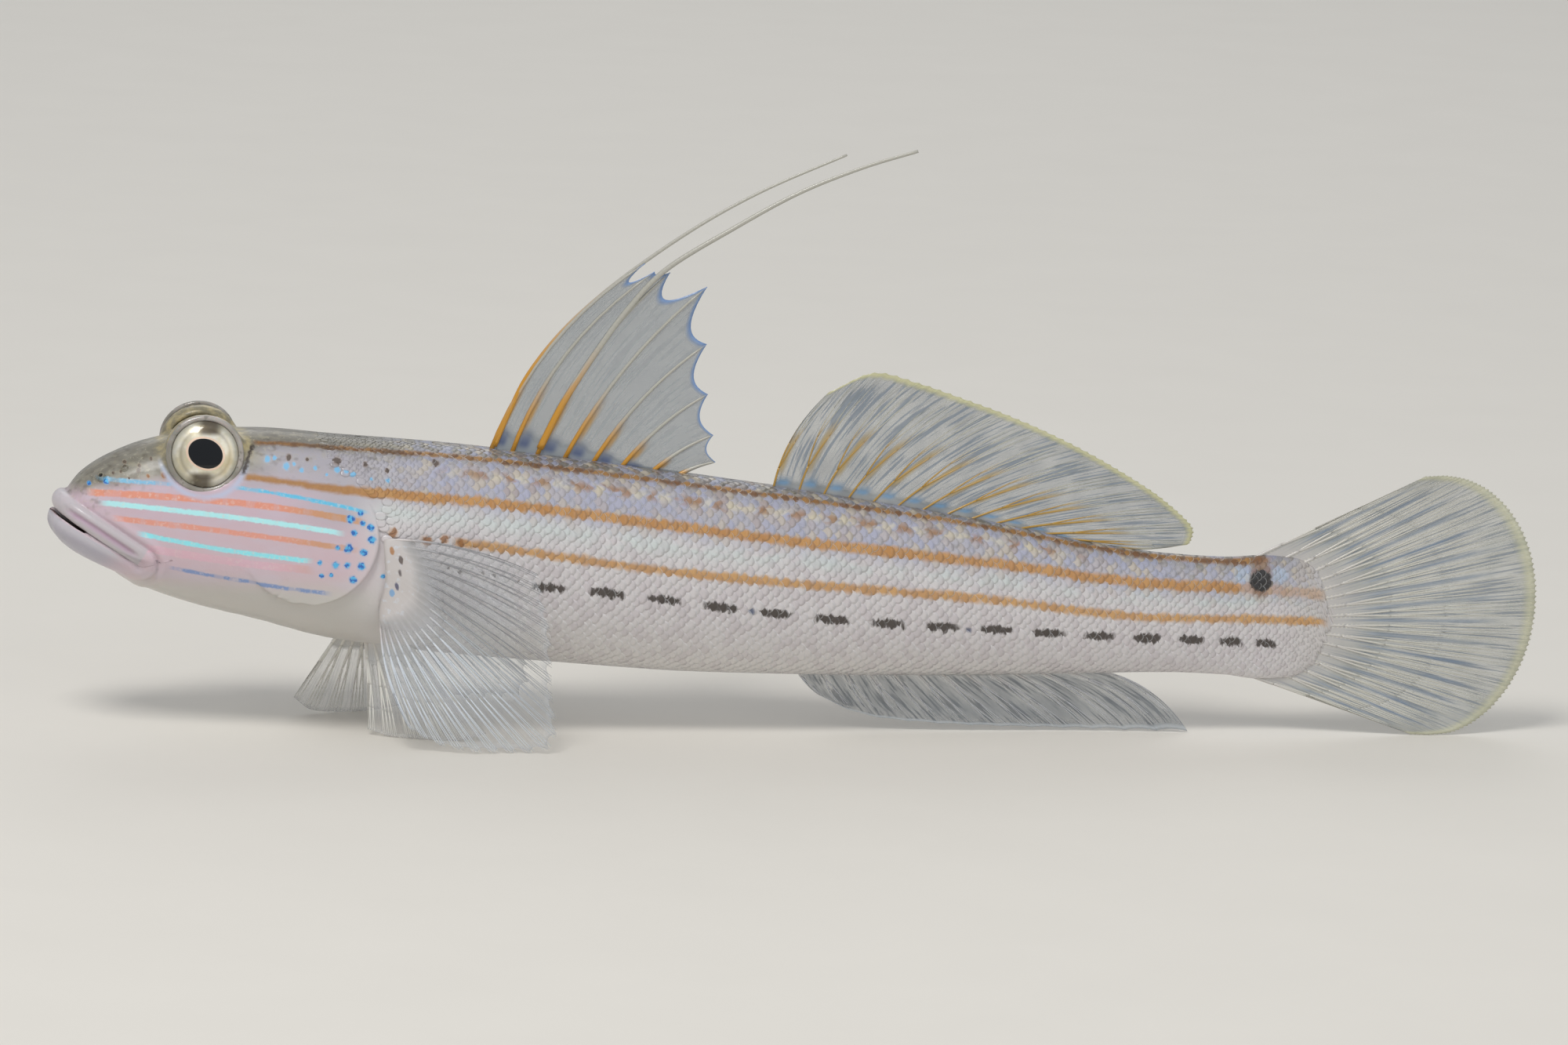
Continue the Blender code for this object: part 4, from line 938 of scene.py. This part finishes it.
# Fins. Rays run from base to tip as parabolas whose middle is moved by a pull; places are (x, z) or (x, y, z).
fins = {
    "firstDorsal": {
        "bases": [-33.1, -30.9, -28.3, -25.4, -22.3, -19.2, -15.8, -12.9],
        "tips": [(-18.0, 49.8), (-16.9, 48.9), (-15.2, 48.8), (-11.2, 47.3), (-11.0, 41.2), (-10.7, 35.9), (-10.0, 31.6),
                 (-9.7, 28.8)],
        "pull": [4.4, 4.2, 3.2, 2.6, 2.0, 1.3, 0.7, 0.3], "pointed": True,
        "scallop": [0.10, 0.02, 0.13, 0.10, 0.11, 0.12, 0.14], "ray": (0.27, 0.12), "splits": (), "wave": (0.5, 0.28, 0.0),
    },
    "secondDorsal": {
        "base": (-3.0, 31.8), "rays": 14, "bow": (2.2, -1.0), "crowd": 1.45,
        "margin": [(2.2, 36.5), (5.6, 38.3), (9.0, 38.3), (17.8, 35.5), (24.2, 33.1), (30.9, 30.0), (37.2, 26.4), (40.4, 24.0),
                   (42.2, 22.0), (42.0, 20.9), (40.6, 20.4)],
        "scallop": 0.011, "teeth": 4, "fine": 16, "ray": (0.13, 0.04), "splits": (0.22, 0.45, 0.7), "wave": (0.45, 0.2, 0.02),
    },
    "anal": {
        "base": (0.4, 30.8), "rays": 13, "bow": (0.5, 3.6),
        "margin": [(2.6, 3.6), (7.4, 1.6), (15.0, 0.8), (25.0, 0.4), (35.0, 0.15), (42.6, 0.12)],
        "scallop": 0.02, "ray": (0.12, 0.04), "splits": (0.3, 0.6), "wave": (0.3, 0.24, 0.02),
    },
    "caudal": {
        "root": (55.2, 12.75, 6.35), "rays": 17, "margin": (68.5, 14.15, 11.5, 14.25), "squareness": 2.15, "sweep": 97.0,
        "scallop": 0.009, "teeth": 5, "fine": 20, "ray": (0.2, 0.04), "splits": (0.16, 0.36, 0.6),
        "lobe": 0.16, "lobeShare": 0.3, "wave": (0.5, 0.3, 0.03),
    },
    "pectoral": {
        "root": [(-44.6, 21.4), (-44.1, 17.4), (-44.6, 13.2)], "rays": 19,
        "margin": [(-29.4, 10.8, 18.6), (-28.0, 11.8, 13.0), (-27.7, 12.6, 7.0), (-27.4, 13.0, 0.9), (-33.0, 13.2, 0.12),
                   (-38.5, 13.0, 0.6), (-42.4, 12.6, 2.4)],
        "pull": np.array([(0.0, 1.2, 2.2), (-1.8, 1.2, 0.0)]), "scallop": 0.03, "ray": (0.16, 0.045), "splits": (0.35, 0.68),
        "lobe": 0.6, "lobeShare": 0.34, "wave": (0.35, 0.5, 0.03),
    },
    "pelvic": {
        "left": {"root": [(-46.2, 2.6), (-42.4, 3.8)],
                 "margin": [(-46.0, 4.8, 0.6), (-43.4, 5.9, 0.1), (-40.0, 6.9, 0.1), (-36.4, 7.5, 0.1), (-33.8, 7.6, 0.9)]},
        "right": {"root": [(-48.2, 2.2), (-44.6, 3.4)],
                  "margin": [(-52.9, 4.2, 1.9), (-51.2, 5.2, 0.5), (-48.0, 6.2, 0.1), (-44.5, 7.2, 0.1), (-41.0, 7.6, 0.6)]},
        "rays": 6, "fine": 20, "pull": (0.2, 0.8, 0.2), "scallop": 0.0, "ray": (0.24, 0.05), "splits": (0.22, 0.5, 0.75),
        "lobe": 0.3, "lobeShare": 0.2, "wave": (0.2, 0.3, 0.02),
    },
    "sink": 0.9, "web": 0.03, "floor": 0.01,      # depth of the middle fins' roots, half the web's thickness, its lowest height
}
# threads: places, radius at root and tip, how soon it turns from orange to grey, and its sway: start and reach
threads = {
    "front": ([(-33.1, 30.1), (-31.6, 33.9), (-29.9, 37.6), (-26.9, 41.8), (-23.0, 45.8), (-18.0, 49.9), (-11.7, 54.3),
               (-5.2, 58.0), (2.9, 61.7)], (0.28, 0.15), 0.9, (0.0, 0.3)),
    "rear": ([(-28.3, 29.9), (-26.0, 34.8), (-22.9, 40.0), (-19.6, 44.8), (-15.6, 49.2), (-8.4, 53.8), (-1.9, 57.5),
              (4.7, 60.3), (10.5, 62.2)], (0.4, 0.19), 1.6, (1.3, -0.3)),
}
acrossRays = (0.02, 1, 0.01)      # nearly straight across the fish, so that no ray runs along it


def inPlane(pairs):
    # (x, z) pairs as points of the middle plane
    pairs = np.asarray(pairs, float)
    return np.stack([pairs[:, 0], 0 * pairs[:, 0], pairs[:, 1]], axis=-1)


def middleFin(fin, edge):
    # rays of a fin on the back (edge 0) or the belly (1), their pulls square to each ray in the middle plane
    if "bases" in fin:
        xs, tips, pull = np.array(fin["bases"]), inPlane(fin["tips"]), np.array(fin["pull"])
    else:
        share = np.linspace(0, 1, fin["rays"])
        xs, tips = ranging(fin["base"], share), inPlane(pathAt(fin["margin"], 1 - (1 - share) ** fin.get("crowd", 1)))
        first, last = fin["bow"]
        pull = last * share**4 - first * (1 - share) if edge else ranging(fin["bow"], share**2)
    bases = inPlane(np.stack([xs, bodySize(xs)[edge]], axis=-1))
    way = tips - bases
    pulls = pull[:, None] * unit(np.stack([-way[:, 2], 0 * xs, way[:, 0]], axis=-1))
    return bases - unit(way) * fins["sink"], tips, pulls


def caudalRays(fin):
    # straight rays that fan out to a squarish superellipse, cut off at the floor
    share = np.linspace(0, 1, fin["rays"])
    place, height, spread = fin["root"]
    angle = np.radians(fin["sweep"]) * (1 - 2 * share)
    centreX, centreZ, halfX, halfZ = fin["margin"]
    square = fin["squareness"]
    reach = (np.abs(np.cos(angle)) ** square + np.abs(np.sin(angle)) ** square) ** (-1 / square)
    tipZ = np.maximum(centreZ + halfZ * np.sin(angle) * reach, 0.06)
    tips = inPlane(np.stack([centreX + halfX * np.cos(angle) * reach, tipZ], axis=-1))
    bases = inPlane(np.stack([place - 6.4 * np.abs(1 - 2 * share) ** 2.6, height + spread * (1 - 2 * share)], axis=-1))
    return bases, tips, 0 * tips


def pectoralRays(fin):
    # from a curved root on the flank to a margin that rests on the floor
    share = np.linspace(0, 1, fin["rays"])
    root = pathAt(fin["root"], share)
    bases = np.stack([root[:, 0] - 0.6, sideWidth(root[:, 0], root[:, 1]) - 0.15, root[:, 1]], axis=-1)
    return bases, pathAt(fin["margin"], share), ranging(fin["pull"], share[:, None])


def pelvicRays(fin, name):
    # from a root on the belly's superellipse to a margin on the floor
    share = np.linspace(0, 1, fin["rays"])
    x, y = pathAt(fin[name]["root"], share).T
    _, belly, half, middle = bodySize(x)
    under = middle - (middle - belly) * (1 - np.abs(y / half) ** power) ** (1 / power)
    tips = pathAt(fin[name]["margin"], share)
    return np.stack([x, y * 0.9, under + 0.5], axis=-1), tips, np.array(fin["pull"]) + 0 * tips


def finPlaces(fin, rays, u, v, notch=1.0):
    # u counts rays and v runs from base to margin; the margin is notched between rays and the sheet waves to its normal
    last = len(rays[0]) - 1

    def flat(u, v):
        u = np.clip(u, 0, last)
        cut = fin["scallop"]
        if fin.get("pointed"):
            cell = np.clip(u.astype(int), 0, last - 1)
            part = (u - cell)[..., None]
            bases, tips, pulls = (points[cell] + (points[cell + 1] - points[cell]) * part for points in rays)
            cut = np.array(cut)[cell]
        else:
            bases, tips, pulls = (through(points, u) for points in rays)
        tooth = u * fin.get("teeth", 1)
        tooth = tooth - np.floor(tooth)
        v = (v * (1 - notch * cut * 4 * tooth * (1 - tooth)))[..., None]
        return bases * (1 - v) + tips * v + 2 * v * (1 - v) * pulls
    points = flat(u, v)
    step = 0.02
    slopeU = flat(np.minimum(u + step, last), v) - flat(np.maximum(u - step, 0), v)
    slopeV = flat(u, np.minimum(v + step, 1)) - flat(u, np.maximum(v - step, 0))
    normal = unit(np.cross(slopeU, slopeV))
    high, often, pleat = fin["wave"]
    shift = np.clip(v, 0, 1) ** 1.5 * (high * np.sin(often * u * 2.6 + 2.2 * v) + pleat * np.sin(2 * math.pi * u))
    return points + normal * shift[..., None], normal


def makeFin(name, fin, rays, finish, replaced, rows=44, steps=11, sides=6):
    # the membrane is a thin closed sheet, thicker in a lobe at its root
    count = len(rays[0])
    u, v = np.meshgrid(np.linspace(0, count - 1, (count - 1) * fin.get("fine", 12) + 1), np.linspace(0, 1, rows))
    middle, normal = finPlaces(fin, rays, u, v)
    lobe = np.clip(1 - v / fin.get("lobeShare", 1), 0, 1) ** 1.3 * (1 - np.abs(2 * u / (count - 1) - 1) ** 4 * 0.8)
    half = (fins["web"] + fin.get("lobe", 0) * lobe)[..., None]
    points = np.concatenate([middle + normal * half, middle - normal * half])
    points[..., 2] = np.maximum(points[..., 2], fins["floor"])
    place = np.tile(np.stack([u, v, 0 * u], axis=-1), (2, 1, 1))
    putMesh(f"{name}_web", points, [sheetFaces(*u.shape)], finish, {"finPlace": place}, replaced=replaced)
    # rays ride in it: round tubes that split in two at each of the fin's splits, half as far apart each time
    cuts = (0.0, *fin["splits"], 1.0)
    offsets = np.zeros((count, 1))
    paths, widths, marks = [], [], []
    for level, (low, high) in enumerate(zip(cuts[:-1], cuts[1:])):
        v = np.linspace(low, high, steps)
        starts = ends = offsets
        if level:
            spread = 0.34 / 2**level
            starts = np.concatenate([offsets, offsets], axis=1)
            ends = np.concatenate([offsets - spread, offsets + spread], axis=1)
        share = (v - low) / (high - low)
        branch = (starts + np.arange(count)[:, None])[..., None] + (ends - starts)[..., None] * share ** 0.7
        branch = branch.reshape(-1, steps)
        along = np.broadcast_to(v, branch.shape)
        inside = np.clip(branch, 0, count - 1)
        paths.append(finPlaces(fin, rays, inside, along, notch=0.0)[0])
        widths.append(ranging(fin["ray"], along) * 0.82**level)
        marks.append(np.stack([inside, along, np.ones(branch.shape)], axis=-1))
        offsets = ends
    path, width, mark = (np.concatenate(parts) for parts in (paths, widths, marks))
    points, faces = roundTubes(path, width * (1 - 0.55 * (mark[..., 1] > 0.985)), sides, acrossRays)
    points[:, 2] = np.maximum(points[:, 2], 0.0)
    putMesh(f"{name}_rays", points, faces, finish, {"finPlace": np.repeat(mark[:, :, None], sides, axis=2)})


# Fin colours. Streak: tone, place and half width between rays, start, end, share. Foot: tone, start, end, share.
# Line and hem: tone and share, with the hem's place. "low" is the ray's tone at its root and where that ends.
finLooks = {
    "firstDorsal": {
        "web": tone(148, 156, 162), "clear": 0.46, "ray": tone(182, 180, 170), "low": (tone(206, 148, 48), 0.42),
        "streak": (tone(210, 160, 66), 0.08, 0.13, 0.08, 0.4, 0.85), "foot": (tone(78, 94, 132), 0.03, 0.16, 0.95),
        "line": (tone(118, 128, 140), 0.16), "hem": (tone(104, 150, 214), 0.7, 0.98), "flesh": 0.03,
    },
    "secondDorsal": {
        "web": tone(142, 148, 152), "clear": 0.4, "ray": tone(196, 194, 178), "low": (tone(188, 148, 66), 0.65),
        "streak": (tone(198, 164, 76), 0.1, 0.1, 0.12, 0.62, 0.7), "foot": (tone(96, 158, 206), 0.06, 0.17, 0.8),
        "line": (tone(112, 130, 150), 0.75), "hem": (tone(232, 226, 158), 0.6, 0.965), "flesh": 0.03,
    },
    "caudal": {
        "web": tone(172, 175, 170), "clear": 0.42, "ray": tone(206, 204, 194), "low": (tone(203, 199, 194), 0.4),
        "streak": (tone(120, 142, 172), 0.5, 0.07, 0.2, 0.9, 0.6), "foot": (tone(200, 195, 193), -0.1, 0.36, 0.9),
        "line": (tone(110, 125, 144), 0.7), "hem": (tone(232, 228, 184), 0.5, 0.96), "beads": 0.7,
        "flesh": 0.0, "fade": 0.45,
    },
    "anal": {
        "web": tone(158, 162, 164), "clear": 0.42, "ray": tone(196, 198, 204), "low": (tone(206, 202, 200), 0.4),
        "streak": (tone(138, 146, 156), 0.45, 0.25, 0.1, 0.95, 0.25), "foot": (tone(214, 208, 204), 0.0, 0.15, 0.5),
        "line": (tone(96, 104, 112), 0.75), "hem": (tone(214, 220, 226), 0.6, 0.96), "flesh": 0.05,
    },
    "pectoral": {
        "web": tone(206, 210, 214), "clear": 0.07, "ray": tone(222, 228, 236), "low": (tone(198, 190, 188), 0.4),
        "streak": (tone(206, 212, 222), 0.5, 0.3, 0.2, 0.9, 0.2), "foot": (tone(190, 186, 186), -0.1, 0.2, 0.2),
        "line": (tone(150, 156, 166), 0.25), "hem": (tone(226, 232, 240), 0.25, 0.98), "flesh": 0.0,
        "pad": (0.2, 7.5, 11.5), "upper": 1.0,
        "marks": [(2.0, 0.05, 176, 120, 62), (5.6, 0.09, 70, 56, 60), (8.4, 0.07, 64, 66, 104), (3.4, 0.1, 84, 66, 60),
                  (10.4, 0.05, 120, 170, 216)],
    },
    "pelvic": {
        "web": tone(216, 216, 214), "clear": 0.14, "ray": tone(236, 234, 228), "low": (tone(226, 220, 212), 0.3),
        "streak": (tone(200, 200, 204), 0.5, 0.3, 0.2, 0.9, 0.2), "foot": (tone(224, 218, 210), 0.0, 0.25, 0.6),
        "line": (tone(176, 178, 184), 0.3), "hem": (tone(226, 226, 226), 0.3, 0.97), "flesh": 0.2,
    },
}


def finFinish(name):
    # clear web with fine lines and streaks beside the rays, coloured feet and margin; rays are solid
    look = finLooks[name]
    finish = Finish(name + "Fin", {"Roughness": 0.3, "Coat Weight": 0.3, "Coat Roughness": 0.1})
    u, v, solid = finish.threeFields("finPlace")
    part = u.math("FRACT")
    cloud = finish.noise(2, 260)
    hair = finish.clouds(finish.node("CombineXYZ", {}, {0: u * 9.0, 1: v * 2.2, 2: 0.0}), 2)
    lineTone, lineShare = look["line"]
    lines = hair.over(0.5, 0.6) * v.over(0.04, 0.2) * lineShare
    streakTone, middle, half, low, high, share = look["streak"]
    streak = (1 - (abs(part - middle) - half).over(-0.1, 0.1)) * window(v, low, 0.12, high, 0.2)
    streak = streak * (cloud.over(0.2, 0.5) * 0.5 + 0.5) * share
    footTone, low, high, share = look["foot"]
    narrow = high - low < 0.15     # a narrow foot is a spot beside each ray, a deep one covers the whole base
    foot = v.over(low, low + 0.04) * (1 - v.over(high - 0.1 if narrow else 0.02, high)) * share
    if narrow:
        foot = foot * (1 - (abs(part - 0.32) - 0.22).over(-0.15, 0.15))
    colour = finish.layers(
        look["web"], (cloud.over(0.3, 0.7) * (lineShare * 0.5), 226, 226, 222), (lines, lineTone),
        (streak, streakTone), (foot, footTone))
    if "beads" in look:     # rows of small pale dots where the last scales run out along the rays
        dots = ((v * 52 + u * 0.5).math("FRACT") - 0.5).line(0.2, 0.14) * abs(part - 0.5).over(0.22, 0.4)
        dots = dots * window(v, 0.03, 0.05, 0.36, 0.26) * cloud.over(0.3, 0.6) * look["beads"]
        colour = finish.layers(colour, (dots, 242, 238, 220))
    lowTone, lowTop = look["low"]
    joints = ((v * 60).math("FRACT") - 0.5).line(0.1, 0.1) * v.over(0.25, 0.4) * 0.1
    rayTone = finish.layers(lowTone, (v.over(lowTop - 0.3, lowTop), look["ray"]), (joints, 120, 116, 106))
    hemTone, share, at = look["hem"]
    hem = v.over(at - 0.03, at + 0.02) * share
    colour = finish.layers(colour, (solid.over(0.3, 0.7), rayTone), (hem, hemTone))
    flesh = 1 - v.over(look["flesh"], look["flesh"] + look.get("fade", 0.1))
    if "pad" in look:     # a rounded fleshy pad at the root, with silver flecks and a few marks
        deep, middle, wide = look["pad"]
        flesh = 1 - (v - (1 - ((u - middle) / wide) ** 2) * deep + (cloud - 0.5) * 0.1).over(-0.08, 0.16)
        flecks = finish.noise(2, 1500).over(0.56, 0.7) * flesh
        colour = finish.layers(colour, (flesh, 207, 201, 199), (flecks * 0.4, 222, 232, 244))
        for markU, markV, *tint in look["marks"]:
            spot = (((u - markU) / 0.8) ** 2 + ((v - markV) / 0.015) ** 2 + (cloud - 0.5) * 3.0).over(0.3, 1.2)
            colour = finish.layers(colour, ((1 - spot) * 0.85, *tint))
    if "upper" in look:     # the upper rays are greyer and more see-through than the lower ones
        upper = (1 - u.over(5.0, 11.0)) * look["upper"]
        colour = finish.layers(colour, (upper * solid * v.over(0.1, 0.4) * 0.8, 150, 149, 150))
        solid = solid * (1 - upper * 0.45)
    alpha = (lines * 0.3 + streak * 0.6 + foot * 0.6 + hem * 0.6 + look["clear"] + flesh).clip()
    finish.feed({"Base Color": colour, "Alpha": (alpha + solid * 0.85).clip(),
                 "Normal": finish.bump(hair, 0.02, lineShare * 0.6)})
    return finish


def makeFins():
    finishes = {name: finFinish(name) for name in finLooks}
    middles = [("firstDorsal", "first_dorsal", "upper_fin", middleFin(fins["firstDorsal"], 0)),
               ("secondDorsal", "second_dorsal", "upper_fin", middleFin(fins["secondDorsal"], 0)),
               ("anal", "anal", "lower_fin", middleFin(fins["anal"], 1)),
               ("caudal", "caudal", "upper_fin", caudalRays(fins["caudal"]))]
    for key, name, slotName, rays in middles:
        makeFin(name, fins[key], rays, finishes[key], (f"{name}_fin",))
    for name, side in bothSides:
        pairs = {"pectoral": pectoralRays(fins["pectoral"]), "pelvic": pelvicRays(fins["pelvic"], name)}
        for key, rays in pairs.items():
            rays = [points * [1, side, 1] for points in rays]
            makeFin(f"{key}_{name}", fins[key], rays, finishes[key], (f"{key}_fin_{name}",))
    share, sides = np.linspace(0, 1, 90), 10
    for name, (places, radius, fade, (start, sway)) in threads.items():
        path = inPlane(pathAt(places, share))
        path[:, 1] += sway * np.sin(share * 5.0 + start) * share**2
        points, faces = roundTubes(path[None], ranging(radius, share**0.8)[None], sides, acrossRays)
        mark = np.stack([0 * share, np.clip(share * fade, 0.05, 0.9), 1 + 0 * share], axis=-1)
        putMesh(f"thread_{name}", points, faces, finishes["firstDorsal"],
                {"finPlace": np.repeat(mark, sides, axis=0)}, replaced=(f"dorsal_filament_{name}",))


wetSkin = skinFinish()
makeSkin(wetSkin)
makeNostrils(wetSkin)
makeScales(scaleFinish())
makeEyes(eyeFinish(), collarFinish())
makeFins()

stage = {"floor": tone(226, 222, 214), "size": 3.0, "sky": 0.46, "skyTone": (0.93, 0.96, 1.0, 1)}
# lights: place, what it aims at, size, power and colour
lights = {
    "keyLight": ((-0.3, -0.42, 0.85), (0, 0, 0.02), 0.32, 4.6, (1.0, 0.98, 0.95)),
    "fillLight": ((0.6, -0.7, 0.35), (0, 0, 0.02), 0.6, 0.9, (0.95, 0.98, 1.0)),
    "backLight": ((0.1, 0.7, 0.6), (0, 0, 0.03), 0.6, 1.1, (1, 1, 1)),
}


def makeStage():
    # a plain pale floor, a soft sky and three area lights
    finish = Finish("paleFloor", {"Roughness": 0.75})
    finish.feed({"Base Color": finish.layers(tone(222, 218, 210), (finish.noise(4, 60), stage["floor"]))})
    half = stage["size"] / 2
    mesh = bpy.data.meshes.new("studio_floor")
    mesh.from_pydata([(-half, -half, 0), (half, -half, 0), (half, half, 0), (-half, half, 0)], [], [(0, 1, 2, 3)])
    mesh.materials.append(finish.material)
    floor = bpy.data.objects.new("studio_floor", mesh)
    bpy.context.scene.collection.objects.link(floor)
    world = bpy.data.worlds.new("softSky")
    world.use_nodes = True
    background = world.node_tree.nodes["Background"]
    background.inputs["Color"].default_value = stage["skyTone"]
    background.inputs["Strength"].default_value = stage["sky"]
    bpy.context.scene.world = world
    bpy.context.scene.view_settings.view_transform = "Standard"
    for name, (place, aim, size, brightness, colour) in lights.items():
        lamp = bpy.data.lights.new(name, "AREA")
        lamp.size, lamp.energy, lamp.color = size, brightness, colour
        thing = bpy.data.objects.new(name, lamp)
        way = np.array(place) - np.array(aim)
        thing.location = place
        thing.rotation_euler = (math.atan2(math.hypot(way[0], way[1]), way[2]), 0, math.atan2(way[0], -way[1]))
        bpy.context.scene.collection.objects.link(thing)


view = {"place": (-0.12924, -0.80311, 0.18036), "yaw": -9.0, "pitch": 11.0, "roll": 2.467, "lens": 180.0, "sensor": 36.0}


def makeCamera():
    # looks at the fish the way the photo does: turned by yaw, tipped by pitch and rolled about its own line of sight
    yaw, pitch, roll = (math.radians(view[key]) for key in ("yaw", "pitch", "roll"))
    back = np.array([math.sin(yaw) * math.cos(pitch), -math.cos(yaw) * math.cos(pitch), math.sin(pitch)])
    level = unit(np.cross([0, 0, 1.0], back))
    upright = np.cross(back, level)
    right = level * math.cos(roll) + upright * math.sin(roll)
    up = upright * math.cos(roll) - level * math.sin(roll)
    lens = bpy.data.cameras.new("photoView")
    lens.lens, lens.sensor_width, lens.clip_start = view["lens"], view["sensor"], 0.01
    camera = bpy.data.objects.new("photoView", lens)
    matrix = np.eye(4)
    matrix[:3, 0], matrix[:3, 1], matrix[:3, 2], matrix[:3, 3] = right, up, back, view["place"]
    camera.matrix_world = Matrix(matrix.tolist())
    bpy.context.scene.collection.objects.link(camera)
    bpy.context.scene.camera = camera


makeStage()
makeCamera()
